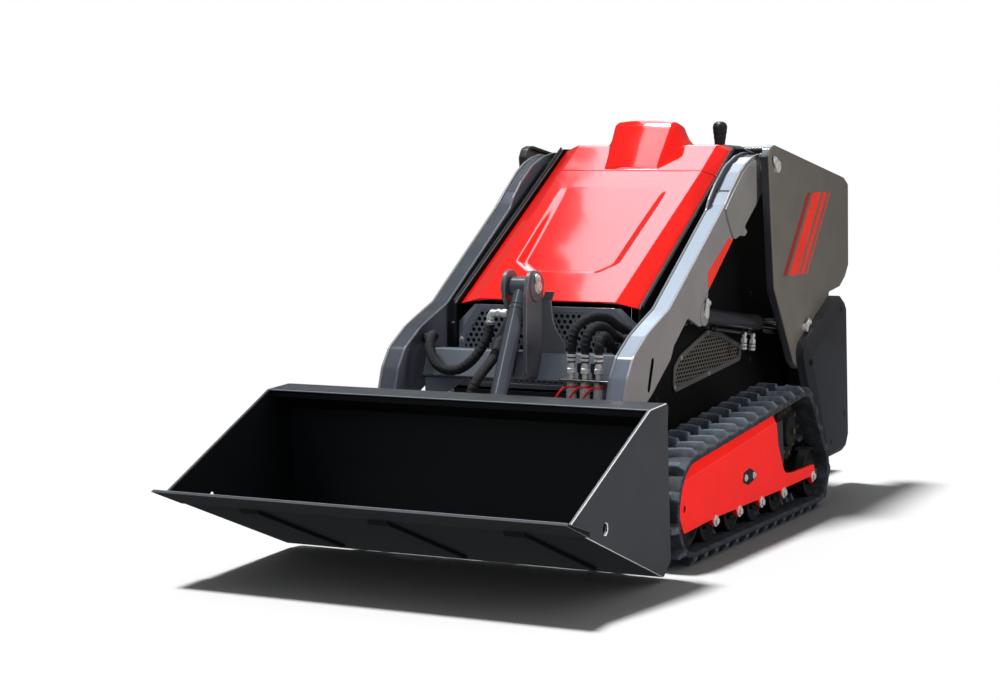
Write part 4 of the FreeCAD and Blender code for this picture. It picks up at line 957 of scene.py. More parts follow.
towerSet = {
    "edge": [(416, 1156, 16), (436, 1186, 24), (474, 1195, 30), (1256, 1093, 30), (1309, 1070, 16),
             (1330, 778, 10), (1290, 736, 60), (1228, 704, 20), (1100, 690), (1000, 460), (759, 445, 15),
             (707, 473, 10), (495, 726, 25), (457, 921, 30)],
    "outer": 446,
    "flange": 28,
    "skin": 8,
    "stripes": [([(640, 765), (735, 765), (985, 1040), (890, 1040)], 0),
                ([(760, 765), (800, 765), (1050, 1040), (1010, 1040)], 0),
                ([(825, 765), (838, 765), (1088, 1040), (1075, 1040)], 0),
                ([(575, 765), (615, 765), (865, 1040), (825, 1040)], 1)],
}


def towers(edge, outer, flange, skin, stripes):
    shape = Shape()
    # the skin's rim is rolled: five rings follow a quarter turn, and four lead back to the skin's inside
    face = turned(outline(edge, 8))
    radius = 5.0
    steps = [(radius * (1 - np.sin(turn)), radius * (1 - np.cos(turn)))
             for turn in np.linspace(0, np.pi / 2, 5)]
    steps += [(0, flange), (radius, flange), (skin, flange - 2), (skin, skin)]
    rings = [sidewards(inset(face, amount), outer - depth) for amount, depth in steps]
    shape.loft(rings[:5], caps=(True, False))
    # the flange's outer wall and edge are near black: painted shade on the tower's rolled front edge
    shape.loft(rings[4:7], 3, caps=(False, False))
    shape.loft(rings[6:], caps=(False, True))
    for points, mark in stripes:
        shape.plate([outline(points, 2)], outer - 0.4, outer + 0.5, bevel=0.15, mark=1 + mark)
    shape.mirror().write("towerPlates", [towerGrey, stripeRed, stripeDark, towerRimShade], "chassis", "frame_grey",
                         ("tower_plate_left", "tower_plate_right"), smooth=40)


# painted shade: near black for the tower flange's outer wall and edge
towerRimShade = paint("towerRimShade", (0.022, 0.022, 0.026), 0.28, coat=0.6)
towerGrey = paint("towerGrey", (0.118, 0.108, 0.095), 0.34, coat=0.5, dust=0.06)
towers(*towerSet.values())

guardBoxSet = {
    "base": [(703, 520, 50), (1088, 678, 6), (1132, 676, 20), (1186, 648, 20), (1225, 180, 20),
             (1195, 120, 20), (955, 112, 10)],
    "face": [(757, 487, 10), (1098, 653, 4), (1128, 652, 10), (1152, 628, 10), (1203, 182, 10),
             (1176, 142, 10), (975, 132, 6)],
    "inner": 446,
    "wall": 28,
    "deep": 47,
    "bolts": [(1087, 630), (765, 470), (1153, 259), (993, 173)],
    "web": [(304, 210), (394, 210), (394, 500), (447, 534), (447, 660), (304, 690)],
    "webBack": 1078,
}


def rearGuards(base, face, inner, wall, deep, bolts, web, webBack):
    # straight wall, then a slope to the smaller face, each fold rounded by rings blended across it
    shape = Shape()
    low, high = turned(outline(base, 8)), turned(outline(face, 8))
    mix = lambda amount: low + (high - low) * amount
    rings = [sidewards(mix(amount), inner + out) for amount, out in
             ((0, 0), (0, wall - 3), (0.01, wall - 0.6), (0.09, wall + 1.6), (0.90, deep - 2.2),
              (0.98, deep - 0.5))]
    shape.loft(rings + [sidewards(inset(high, 2.5), inner + deep)])
    # a cross sheet ties the guard to the chassis side behind the track
    shape.plate([outline(web, 4)], webBack, webBack + 6, frontwards, bevel=0.8)
    for back, up in bolts:
        shape.lathe([(-2, 11), (0.4, 11), (0.8, 10), (0.8, 7.5), (-3, 7)], (inner + deep, back, up),
                    (1, 0, 0), 20, 1)
    shape.mirror().write("rearGuards", [guardGrey, blackSteel], "chassis", "frame_grey",
                         ("rear_guard_left", "rear_guard_right"), smooth=30)


guardGrey = paint("guardGrey", (0.017, 0.018, 0.022), 0.34, coat=0.4, dust=0.10)
rearGuards(*guardBoxSet.values())
print("towers and rear guards made")

# hood, cowl and scoop

hoodSet = {
    "foot": (-323, 718),
    "seam": (326, 1109),
    "half": 292,
    "flat": (221, 247),       # half width of the flat middle at its foot and at the seam
    "fall": 20,               # how far the sides slope down
    "thick": 25,
    "panelHalf": (166, 188),  # half width of the sunk panel at its foot and where it ends
    "panelMiddle": -14,
    "panelRun": (158, 655),   # distances from the hood's foot between which it is sunk
    "panelWall": 17,
    "panelDeep": 13,
}
cowlTop = (470, 1196)


def sideFall(across, flat, half, fall):
    # 0 over the flat middle, then down to fall at the edge, with soft folds
    t = np.clip((np.abs(across) - flat) / (half - flat), 0, None)
    lead = 0.05
    return fall * np.where(t < lead, t * t / (2 * lead), t - lead / 2)


def hood(foot, seam, half, flat, fall, thick, panelHalf, panelMiddle, panelRun, panelWall, panelDeep):
    along, normal = slopeOf(foot, seam)
    reach = np.hypot(*np.subtract(seam, foot))
    across = np.concatenate([[-half, -half + 0.6], np.linspace(-half + 2, half - 2, 229), [half - 0.6, half]])
    down = np.concatenate([[0.0, 0.5, 1.6], np.linspace(4, reach - 4, 196),
                           [reach - 1.6, reach - 0.5, reach]])
    u, v = np.meshgrid(across, down)
    # columns lean with the panel's sides, so that its edges stay sharp
    (begin, stop), (narrow, wide) = panelRun, panelHalf
    share = np.clip((v - begin) / (stop - begin), 0, 1)
    widen = np.minimum(np.abs(u) / narrow, (half - np.abs(u)) / (half - narrow))
    edge = narrow + (wide - narrow) * share
    x = u + widen * (np.sign(u) * (edge - narrow) + panelMiddle)
    rim = roundedEdge(np.minimum(v, reach - v), 0.4) + roundedEdge(half - np.abs(x), 1.6)
    # inside grows from 0 on the panel's outline, a rectangle with cut lower corners; the wall falls over
    # panelWall with small folds, and the floor rises to meet the hood at the panel's end
    side = edge - np.abs(x - panelMiddle * widen)
    low = v - begin
    corner = (side + low - 52) * np.sqrt(0.5)
    inside = -np.log(np.exp(-side / 3) + np.exp(-low / 3) + np.exp(-corner / 3)) * 3
    fold = lambda distance: 1.6 * np.logaddexp(0, distance / 1.6)
    sunk = (fold(inside) - fold(inside - panelWall)) / panelWall * panelDeep * (1 - share)
    lift = -sunk - sideFall(x, flat[0] + (flat[1] - flat[0]) * v / reach, half, fall) - rim
    spread = lambda x, v, lift: np.stack([x, foot[0] + along[0] * v + normal[0] * lift,
                                          foot[1] + along[1] * v + normal[1] * lift], -1)
    top = spread(x, v, lift)
    # underneath: the same line of edges carried back across, thin at the foot
    u, v = np.meshgrid(across[::-24], down)
    share = softStep(v, 0, 70)
    deep = -4 - (thick - 4) * share - sideFall(u, flat[0], half, fall) * (1 - share)
    shape = Shape()
    shape.loft(np.concatenate([top, spread(u, v, deep)], axis=1))
    shape.write("hoodShell", [glossRed], "hood", "hood_red", "hood", smooth=50)


hood(**hoodSet)

cowlSet = {
    "gap": 4.2,           # to the hood
    "rear": 560,
    "bend": 34,           # radius of the arc over which the slope turns into the flat top
    "half": 292,
    "thick": 20,
}


def cowl(gap, rear, bend, half, thick):
    # the slope's profile bends over to the flat top on an arc, and the side folds follow it
    start = np.array(hoodSet["seam"]) + slopeOf(hoodSet["foot"], hoodSet["seam"])[0] * gap
    line = [tuple(start), cowlTop + (bend,), (rear, cowlTop[1] + 2), tuple(start + (0, -400))]
    line = outline(line, 16)[:-1]
    line = line[np.argmin(((line - start) ** 2).sum(1)):]
    run, reach = evenly(line, 4.0)
    way = unit(np.gradient(run, axis=0))
    up = np.stack([-way[:, 1], way[:, 0]], -1)
    across = np.concatenate([[-half, -half + 1.0], np.linspace(-half + 3, half - 3, 141), [half - 1.0, half]])
    x, v = np.meshgrid(across, reach)
    rim = roundedEdge(np.minimum(v, reach[-1] - v), 0.4) + roundedEdge(half - np.abs(x), 1.6)
    lift = -sideFall(x, hoodSet["flat"][1], hoodSet["half"], hoodSet["fall"]) - rim
    top = np.concatenate([x[..., None], run[:, None] + up[:, None] * lift[..., None]], -1)
    x2, _ = np.meshgrid(across[::-18], reach)
    under = np.concatenate([x2[..., None], np.broadcast_to((run - up * thick)[:, None], x2.shape + (2,))], -1)
    shape = Shape()
    shape.loft(np.concatenate([top, under], axis=1))
    shape.write("topCowl", [glossRed], "chassis", "hood_red", "top_cowl", smooth=50)


cowl(*cowlSet.values())

scoopSet = {
    "base": [(337, 1115), (378, 1139), (420, 1164), (456, 1187), (474, 1196), (530, 1196), (553, 1196.3),
             (559, 1196.5)],
    "crest": [(337, 1117), (378, 1169), (420, 1221), (456, 1266), (474, 1273), (530, 1266), (553, 1246),
              (559, 1198)],
    "halfTop": [90, 93, 96, 98, 98, 97, 95, 92],    # half width of the crest from front to rear
    "flare": [6, 12, 20, 30, 40, 46, 48, 46],
    "crown": 7.0,         # rise of the crest's middle
}


def smoothLine(points, count):
    # a quadratic spline through an evenly spaced count of places, which starts and ends at its end points
    points = np.asarray(points, float)
    points = points[:, None] if points.ndim == 1 else points
    knots = np.concatenate([[0, 0], np.linspace(0, 1, len(points) - 1), [1, 1]])
    t = np.linspace(0, 1 - 1e-9, count)
    span = np.clip(np.searchsorted(knots, t, "right") - 1, 2, len(points) - 1)
    d = [points[span - 2], points[span - 1], points[span]]
    share = lambda low, high: ((t - knots[low]) / (knots[high] - knots[low]))[:, None]
    a = d[0] + (d[1] - d[0]) * share(span - 1, span + 1)
    b = d[1] + (d[2] - d[1]) * share(span, span + 2)
    return a + (b - a) * share(span, span + 1)


def scoop(base, crest, halfTop, flare, crown):
    # each row stands on the cowl: full height across the crest, a cut corner, then a side that runs out
    # in a hollow curve
    rows, flatShare = 90, 0.3    # flatShare is the part of each side taken up by the cut corner
    low, high = smoothLine(base, rows), smoothLine(crest, rows)
    half, spread = smoothLine(halfTop, rows), smoothLine(flare, rows)
    side = np.linspace(0, 1, 40)
    hollow = np.clip((side - flatShare) / (1 - flatShare), 0, 1)
    fall = np.where(side < flatShare, 1 - 0.4 * side, 0.88 * (1 - hollow) ** 1.35)
    out = np.where(side < flatShare, side, flatShare + (1 - flatShare) * hollow ** 1.15)
    middle = np.linspace(-1, 1, 41)[1:-1]
    x = np.concatenate([-(half + spread * out[::-1]), half * middle, half + spread * out], axis=1)
    share = np.concatenate([fall[::-1], np.ones(len(middle)), fall])[None, :, None]
    bulge = crown * (1 - np.clip(np.abs(x) / half, 0, 1) ** 2)
    spot = low[:, None] + (high - low)[:, None] * share
    away = unit(high - low + 1e-6)
    spot = spot + away[:, None] * bulge[..., None] * share
    x2 = x[:, ::-6]
    under = np.broadcast_to((low - (0, 1.0))[:, None], x2.shape + (2,))
    shape = Shape()
    shape.loft(np.concatenate([np.concatenate([x[..., None], spot], -1),
                               np.concatenate([x2[..., None], under], -1)], 1))
    shape.write("airScoop", [glossRed], "chassis", "hood_red", "air_scoop", smooth=60)


scoop(**scoopSet)
print("hood, cowl and scoop made")

# bucket

bucketSet = {
    "half": 590,             # the rest are (y, z) corners, apart from sheet, edgeDeep and edgeThick
    "sheet": 8,
    "heel": (-847, 13),
    "lip": (-1519, 253),
    "backLow": (-794, 50),
    "backHigh": (-829, 418),
    "backTop": (-825, 475),
    "beamTop": (-840, 484),
    "beamFront": (-957, 477),
    "edgeDeep": 150,
    "edgeThick": 16,
    "hole": (-1253, 205, 15.5),
}


def bucket(half, sheet, heel, lip, backLow, backHigh, backTop, beamTop, beamFront, edgeDeep, edgeThick, hole):
    floorWay, floorDown = slopeOf(heel, lip)
    rise = -floorDown
    backWay, backNormal = slopeOf(backLow, backHigh)
    edgeBack = np.array(lip) - floorWay * edgeDeep
    edgeTop = edgeBack + rise * edgeThick
    tip = np.array(lip) - floorWay * 48 + rise * 9.5    # the side plates' front corner
    innerHeel = np.array(heel) + floorWay * 22 + rise * sheet
    innerLow = np.array(backLow) + backNormal * sheet + backWay * 12
    innerTop = np.array(backHigh) + backNormal * (sheet + 10)
    point = lambda spot, radius=0: tuple(spot) + (radius,)
    shape = Shape()
    bend = [point(edgeTop + rise * 0.5), point(edgeBack), point(heel, 16), point(backLow, 20), backHigh,
            backTop, point(beamTop, 3), point(beamFront, 2), (beamFront[0] + 8, beamFront[1] - 9),
            (-945, 455), point(innerTop, 3), point(innerLow, 16), point(innerHeel, 30),
            point(edgeBack + rise * sheet)]
    # the bent floor, back and beam take the near-black finish: black paint and painted shade
    shape.plate([outline(bend, 6)], -half + sheet - 0.5, half - sheet + 0.5, bevel=0.05)
    wall = outline([point(heel, 14), point(backLow, 18), backHigh, backTop, point(beamTop, 4),
                    point(beamFront, 10), point(tip, 3), point(edgeTop), point(edgeBack)], 6)
    opening = ring(*hole, 28)
    # the bevels of the wall on the machine's left take the pale edge finish: worn edges and a painted
    # highlight
    shape.plate([wall, opening], half - sheet, half, bevel=1.8, edge=1, mark=2)
    shape.plate([wall, opening], -half, -half + sheet, bevel=1.8, mark=2)
    # painted shade: near-black sheets on the walls' inner faces, darker than the walls' own paint, where the
    # bucket's inside lies in shade
    for low in (half - sheet - 0.7, -half + sheet):
        shape.plate([inset(turned(wall), 2.5), opening], low, low + 0.7, bevel=0.2)
    # painted highlight: a thin bluish bead along the beam's front edge
    shape.tube([(across, beamFront[0] + 1.2, beamFront[1] - 1.2)
                for across in np.linspace(-half + 6, half - 6, 120)], 1.8, 8, 3)
    # gussets in the corners behind the beam
    gusset = outline([(-795, 425), (-823, 425), (-826, 470), (-800, 470, 14)], 5)
    for across in (-half + 70, half - 70):
        shape.plate([gusset], across - 4, across + 4)
    shape.write("bucketShell", [bucketBlackAndShade, edgeWornAndHighlight, bucketSide, edgeHighlightBlue], "bucket", "bucket_black",
                "bucket_shell", smooth=24)
    blade = Shape()
    front = np.array(lip) - floorWay * 8 + rise * 7
    loop = np.array([lip, edgeBack, edgeTop, front])
    # the blade's bevels and the bead along its front take the bluish grey: a painted highlight
    blade.plate([loop], -half - 10, half + 10, bevel=0.9, edge=1)
    blade.tube([(across, front[0] + 0.4, front[1]) for across in np.linspace(-half - 8, half + 8, 60)], 1.3,
               8, 1)
    blade.write("cuttingEdge", [edgeBlack, edgeHighlightBlue], "bucket", "steel_edge", "cutting_edge", smooth=20)
    strips = Shape()
    first, last = np.array(heel) + floorWay * 60, edgeBack - floorWay * 4
    loop = np.array([first, last, last - floorWay * 16 - rise * 10, first + floorWay * 16 - rise * 10])
    for middle in (-390, 0, 390):
        strips.plate([loop], middle - 30, middle + 30, bevel=1.5)
    # the strips under the bucket take the near-black finish too: black paint and painted shade
    strips.write("wearStrips", [bucketBlackAndShade], "bucket", "steel_edge", "wear_strips", smooth=20)


# painted highlight: a bluish grey for the thin bright lines along the beam's front edge and the cutting edge
edgeHighlightBlue = paint("edgeHighlightBlue", (0.18, 0.21, 0.25), 0.3, coat=0.3)
edgeBlack = paint("edgeBlack", (0.007, 0.008, 0.010), 0.5)
bucket(**bucketSet)
print("bucket made")

# chassis sides, with a rubber strip along the top edge that the hood sits beside

sideSet = {
    "edge": [(-330, 142, 20), (-330, 701, 8), (-319, 711), (470, 1183, 20), (560, 1184), (1090, 1098, 30),
             (1090, 142)],
    "inner": 300,
    "thick": 8,
    "strip": [(-324, 706), (-316, 713), (150, 994), (468, 1186)],
    "bolts": [(-200, 420), (-200, 560), (650, 700), (650, 480), (900, 700), (980, 300)],
    "flange": [(-326, 446, 4), (-314, 446, 4), (-314, 648, 4), (-326, 640, 4)],
    "flangeWide": 23,
}


def chassisSides(edge, inner, thick, strip, bolts, flange, flangeWide):
    shape = Shape()
    # the side plates are near black: painted shade under the arms
    shape.plate([outline(edge, 6)], inner, inner + thick, bevel=0.8)
    run, _ = evenly(np.column_stack([np.full(len(strip), inner + thick + 1.5), strip]), 12)
    shape.tube(run, 4.0, 10, 1)
    for back, up in bolts:
        bolt(shape, (inner + thick, back, up), (1, 0, 0), 7, 6, 1.5, 2)
    # a narrow upright flange at the front closes the view between the side and the arm; like the side, it is
    # near black: painted shade
    shape.plate([outline(flange)], inner + thick - 1, inner + thick + flangeWide, bevel=0.8)
    shape.mirror().write("chassisSides", [shadeBlack, rubberGloss, blackSteel], "chassis", "frame_grey",
                         ("chassis_side_left", "chassis_side_right"), smooth=24)


rubberGloss = paint("rubberGloss", (0.030, 0.030, 0.032), 0.22, coat=0.4)
chassisSides(*sideSet.values())

# perforated sheets

grilleSet = {
    "panel": [(-292, 448, 6), (292, 448, 6), (292, 600, 8), (226, 700, 4), (-226, 700, 4), (-292, 600, 8)],
    "opening": [(-272, 462, 6), (272, 462, 6), (272, 598, 6), (214, 684, 6), (-214, 684, 6), (-272, 598, 6)],
    "wing": [(228, 699), (240, 700), (299, 646), (299, 560), (293, 602)],
    "backing": [(-290, 446), (290, 446), (290, 640), (230, 698), (-230, 698), (-290, 640)],
    "front": -327.5,
    "pitch": 19.0,
    "hole": 6.6,
    "thick": 2.0,
}


def cells(pitch, stretch, low, high):
    # centres of a honeycomb of cells between two corners
    wide, tall = pitch * stretch[0], pitch * 0.866 * stretch[1]
    row, column = np.meshgrid(np.arange(int((high[1] - low[1]) / tall) + 1),
                              np.arange(int((high[0] - low[0]) / wide) + 1), indexing="ij")
    return np.stack([low[0] + (column + 0.5 * (row % 2)) * wide, low[1] + row * tall], -1).reshape(-1, 2)


def insideOf(points, convex, margin):
    # which points lie within a convex loop widened by a margin
    convex = turned(convex)
    side = unit(np.roll(convex, -1, 0) - convex)
    normal = np.stack([side[:, 1], -side[:, 0]], -1)
    return (((points[:, None] - convex[None]) * normal[None]).sum(2) <= margin).all(1)


def perforated(shape, centres, pitch, hole, stretch, low, thick, lay, mark=0):
    # each cell is a six-sided ring round a twelve-sided hole: front, hole's wall, back and outer wall;
    # a hair's breadth keeps neighbours apart, so that each ring is closed
    angle = np.arange(12) * np.pi / 6
    edge = np.where(np.arange(12) % 2 == 0, pitch / 2, pitch / 2 / np.cos(np.pi / 6)) - 0.02
    circle = np.stack([np.cos(angle), np.sin(angle)], -1)
    outer = edge[:, None] * circle * stretch
    inner = circle * (np.array(stretch) * pitch / 2 - (pitch / 2 - hole))
    layers = [(outer, low), (inner, low), (inner, low + thick), (outer, low + thick)]
    count = len(centres)
    block = np.stack([lay((centres[:, None] + loop[None]).reshape(-1, 2), high).reshape(count, 12, 3)
                      for loop, high in layers], 1)
    row, turn = np.arange(4)[:, None], np.arange(12)[None]
    nextRow, nextTurn = (row + 1) % 4, (turn + 1) % 12
    quads = np.stack(np.broadcast_arrays(row * 12 + turn, row * 12 + nextTurn, nextRow * 12 + nextTurn,
                                         nextRow * 12 + turn), -1).reshape(1, -1, 4)
    quads = (quads + 48 * np.arange(count)[:, None, None]).reshape(-1, 4)
    shape.add(block.reshape(-1, 3), quads, mark)


def frontGrille(panel, opening, wing, backing, front, pitch, hole, thick):
    shape = Shape()
    hollow = outline(opening, 4)
    centres = cells(pitch, (1, 1), (-280, 458), (284, 700))
    centres = centres[insideOf(centres, hollow, 5.0)]
    perforated(shape, centres, pitch, hole, (1, 1), front, thick, frontwards)
    shape.plate([outline(panel, 4), hollow], front - 0.6, front + thick + 0.6, frontwards, bevel=0.4)
    # folded wings fill the corners under the hood's sloping sides
    for side in (-1, 1):
        points = frontwards(np.array(wing, float) * (side, 1), front + 1 + np.array([0, 3, 14, 14, 0]))
        shape.loft([points, points + (0, 3, 0)])
    for side in (-1, 1):
        for up in (470, 590):
            bolt(shape, (side * 282, front, up), (0, -1, 0), 6, 5, 1.4, 1)
    # painted shade: a near-black sheet behind, standing in for the shade inside the chassis
    shape.plate([outline(backing)], front + 22, front + 24, frontwards, mark=2)
    # the grille takes the bluish grey of forward faces: painted sky light
    shape.write("frontGrille", [frontSkyLitGrey, zinc, shadeBehind], "chassis", "frame_grey", "front_grille",
                smooth=30)


# painted shade: a near-black matt finish for sheets behind the grilles, where the chassis's inside lies in
# shade
shadeBehind = Finish("shadeBehind", (0.004, 0.004, 0.004), 0.9)
shadeBehind.put("Base Color", shadeBehind.mix(shadeBehind.noise(20.0), (0.003, 0.003, 0.003),
                                            (0.006, 0.006, 0.006)))
frontGrille(*grilleSet.values())

sideGrilleSet = {
    "edge": [(-69, 428, 24), (548, 484, 24), (548, 538, 24), (359, 590, 60), (227, 606, 80), (-15, 542, 60),
             (-69, 508, 26)],
    "border": 17,
    "pitch": 14.0,
    "hole": 5.9,
    "stretch": (1.65, 1.0),
    "screws": [(-59, 445), (-8, 534), (227, 597), (537, 530), (240, 465)],
}


def sideGrilles(edge, border, pitch, hole, stretch, screws):
    shape = Shape()
    loop = turned(outline(edge, 8))
    hollow = inset(loop, border)
    centres = cells(pitch, stretch, (-64, 436), (544, 606))
    centres = centres[insideOf(centres, hollow, 4.0)]
    perforated(shape, centres, pitch, hole, stretch, 309.5, 1.6, sidewards, 1)
    shape.plate([loop, hollow], 308, 315, bevel=2.6)
    # a near-black sheet behind the mesh: painted shade
    shape.plate([inset(loop, 8)], 307.2, 308.4, bevel=0.2, mark=3)
    for back, up in screws:
        bolt(shape, (313.6, back, up), (1, 0, 0), 5, 4, 1.5, 2)
    shape.mirror().write("sideGrilles", [bezelGrey, strandGrey, zinc, shadeBehind], "chassis", "frame_grey",
                         "side_grilles", smooth=30)


bezelGrey = paint("bezelGrey", (0.075, 0.074, 0.074), 0.32, coat=0.3)
strandGrey = paint("strandGrey", (0.13, 0.12, 0.11), 0.34, coat=0.2)
sideGrilles(*sideGrilleSet.values())
print("chassis skin made")

# tilt bracket, crossbeam and pins

bracketSet = {
    "back": [(-482.7, 501.3), (-452, 571), (-444, 571), (-444, 725), (-447, 815, 47.9), (-543, 815, 40)],
    "fronts": {1: [(-562, 745, 30), (-560, 518, 6), (-547, 507, 6)], -1: [(-543, 735, 25), (-500, 685, 20)]},
    "inner": 33.5,
    "thick": 12,
    "pin": (-495, 767),
    "disc": 46,
    "gusset": [(44, 571), (119, 571), (119, 600), (80, 655, 100), (72, 728), (44, 728)],
    "tab": [(46, 726), (74, 726), (86, 752), (60, 752)],
}


def tiltBracket(back, fronts, inner, thick, pin, disc, gusset, tab):
    shape = Shape()
    for side in (1, -1):
        low, high = sorted((side * inner, side * (inner + thick)))
        shape.plate([outline(back + fronts[side], 8), ring(*pin, 14, 28)], low, high, bevel=1.5, edge=1)
        shape.lathe([(-1, disc), (3, disc - 0.5), (4.5, disc - 2.5), (4.5, 18)],
                    (side * (inner + thick), *pin), (side, 0, 0), 48)
        loop = outline([(side * point[0],) + tuple(point[1:]) for point in gusset], 14)
        shape.plate([loop], -452, -444, frontwards, bevel=1.3, edge=1)
        # a tab leans forward from each gusset's top
        shape.loft([frontwards(np.array(tab, float) * (side, 1), depth - np.array([0, 0, lean, lean]))
                    for depth, lean in ((-452.0, 13), (-444.0, 10))])
    # the bracket's plates take the darker copy of the arm paint: painted shade
    shape.write("tiltBracket", [bracketShadeGrey, edgeGrey], "arms", "arm_grey", "tilt_bracket", smooth=26)


tiltBracket(**bracketSet)

beamSet = {
    "profile": [(-487, 489, 4), (-396, 489, 4), (-396, 571, 4), (-452, 571, 4)],
    "half": 335,
    "raised": [(50, 176), (-318, -60)],    # x of the raised plates' ends
    "cornerPlate": [(335, 491), (196, 491), (214, 470, 40), (262, 440, 60), (335, 428)],
}


def crossbeam(profile, half, raised, cornerPlate):
    shape = Shape()
    shape.plate([outline(profile, 5)], -half, half, bevel=0.3)
    # a raised plate on the front face on each side of the bracket, and corner plates below the beam
    start = np.array(profile[0][:2])
    way, normal = slopeOf(start, profile[3][:2])
    foot, head = start + way * 4, start + way * 84
    for low, high in raised:
        shape.plate([np.array([foot, head, head + normal * 4, foot + normal * 4])], low, high, bevel=0.8,
                    edge=1)
    for side in (1, -1):
        loop = outline([(side * point[0],) + tuple(point[1:]) for point in cornerPlate], 10)
        shape.plate([loop], -470, -462, frontwards, bevel=1.0, edge=1)
    # the crossbeam takes the bluish grey of forward faces: painted sky light
    shape.write("armCrossbeam", [frontSkyLitGrey, edgeGrey], "arms", "arm_grey", "arm_crossbeam", smooth=26)


crossbeam(**beamSet)

pin = Shape()
flagPin(pin, **pinSet["tiltPin"])
pin.lathe([(0, 21), (5, 21), (6.5, 19), (6.5, 8)], (47, -495, 767), (1, 0, 0), 32)
pin.write("tiltPin", [brightZinc], "arms", "zinc", "tilt_pin")

# hydraulic cylinders

cylinderSet = {
    "lift": {"start": (-30, 671), "end": (809, 583), "barrel": 27, "rod": 16, "long": 578, "eye": 27,
             "eyeHalf": 20.5, "neck": 20, "rodStart": 94, "pin": 14},
    "tilt": {"start": (-495, 767), "end": (-760, 250), "barrel": 26, "rod": 17, "long": 430, "eye": 29,
             "eyeHalf": 32, "neck": 24, "rodStart": 110, "pin": 15},
}


def cylinder(name, finish, body, node, across, ports, start, end, barrel, rod, long, eye, eyeHalf, neck,
             rodStart, pin):
    # barrel and rod along the line from start to end, each with an eye across its end
    at, far = np.array([across, *start], float), np.array([across, *end], float)
    reach = np.linalg.norm(far - at)
    way = (far - at) / reach
    eyeLine = [(-eyeHalf, pin + 1.5), (-eyeHalf, eye - 1.5), (-eyeHalf + 1.5, eye), (eyeHalf - 1.5, eye),
               (eyeHalf, eye - 1.5), (eyeHalf, pin + 1.5)]
    tube = Shape()
    tube.lathe(eyeLine, at, (1, 0, 0), 40)
    tube.lathe([(6, neck * 0.9), (48, neck), (62, neck + 1), (64, barrel - 3), (66.5, barrel - 0.6),
                (70, barrel), (76, barrel), (77, barrel - 1.2), (80, barrel - 1.2),
                (long - 46, barrel - 1.2), (long - 44, barrel), (long - 26, barrel),
                (long - 25, barrel - 1.5), (long - 21, barrel - 1.5), (long - 20, barrel),
                (long - 3, barrel), (long, barrel - 3), (long, rod + 5), (long - 4, rod + 4),
                (long - 4, rod + 0.6)], at, way, 56)
    ports(tube, at, way)
    tube.write(name + "Barrel", [finish, brightZinc, steel], body.format("barrel"), "frame_grey",
               node.format("barrel"), smooth=28)
    bar = Shape()
    bar.lathe([(rodStart, rod - 1), (reach - 34, rod), (reach - 33, rod)], at, way, 48)
    bar.lathe([(reach - 36, rod + 0.5), (reach - 30, rod + 5), (reach - 12, rod + 5), (reach - 8, rod)], at,
              way, 48, 1)
    bar.lathe(eyeLine, far, (1, 0, 0), 40, 1)
    bar.write(name + "Rod", [chrome, cylinderBlack], body.format("rod"), "chrome_rod", node.format("rod"),
              smooth=28)


def liftPorts(tube, at, way):
    # a steel pipe runs back under the barrel, and two fittings hang from it near its rear end
    down = np.array([0, way[2], -way[1]])
    down = down if down[2] < 0 else -down
    for place in (104, 505):
        tube.lathe([(0, 10), (24, 10), (25, 8), (25, 3)], at + way * place + down * 14, down, 24)
    tube.tube(at + down * 37 + np.linspace(150, 556, 40)[:, None] * way, 5, 12)
    for place in (180, 440):
        tube.lathe([(0, 9), (14, 9)], at + way * place + down * 37 - way * 7, way, 20)
    for place in (466, 551):
        foot = at + way * place + down * 36
        tube.lathe([(0, 9), (11, 9), (12, 7.5), (12, 4)], foot, down, 6, 1)
        tube.lathe([(11, 7), (26, 7)], foot, down, 20, 1)
        tube.lathe([(18, 9.5), (19, 11), (33, 11), (34, 9.5)], foot, down, 6, 1)
        crimps(tube, foot, down, (37, 48), 9.5, 11, 7.2, 24, 1)
        tube.lathe([(33, 8.8), (58, 8.8)], foot, down, 20, 2)


def tiltPorts(tube, *axis):
    # elbows on the barrel's side, each with its nut and crimped bands
    radius, turn = 14, np.linspace(0, np.pi / 2, 12)
    for (back, up), across, out in (((-554.4, 690.6), -76, -1), ((-686, 415), -72, 1)):
        side = (-20, back, up)
        tube.lathe([(0, 12), (12, 12), (13, 9.5), (52, 9.5)], side, (-1, 0, 0), 24, 1)
        tube.lathe([(22, 12), (32, 12)], side, (-1, 0, 0), 6, 1)
        elbow = np.column_stack([across + radius * (1 - np.sin(turn)), np.full(12, back),
                                 up + out * radius * (1 - np.cos(turn))])
        tube.tube(elbow, 9.5, 18, 1)
        start = (across, back, up + out * 11)
        tube.lathe([(0, 12), (10, 12)], start, (0, 0, out), 6, 1)
        crimps(tube, start, (0, 0, out), (12, 21), 12.5, 13.8, 6.0, 28, 1)
        tube.lathe([(9, 11), (30, 11)], start, (0, 0, out), 24)


cylinderBlack = paint("cylinderBlack", (0.012, 0.013, 0.016), 0.30, coat=0.6)
# the tilt barrel's dark paint made a lighter bluish grey, standing in for the sky's highlight on it: paint
# colour and painted sheen
cylinderGreyAndSheen = paint("cylinderGreyAndSheen", (0.060, 0.068, 0.084), 0.22, coat=1.0, dust=0.04)
cylinder("liftLeft", cylinderBlack, "lift_{}_left", "lift_left_{}", 365, liftPorts, **cylinderSet["lift"])
cylinder("liftRight", cylinderBlack, "lift_{}_right", "lift_right_{}", -365, liftPorts, **cylinderSet["lift"])
# the tilt cylinder's barrel takes the lighter bluish grey: its paint and a painted sheen
cylinder("tilt", cylinderGreyAndSheen, "tilt_{}", "tilt_{}", 0, tiltPorts, **cylinderSet["tilt"])
print("cylinders made")

# couplers with their bracket, straps and dust plugs

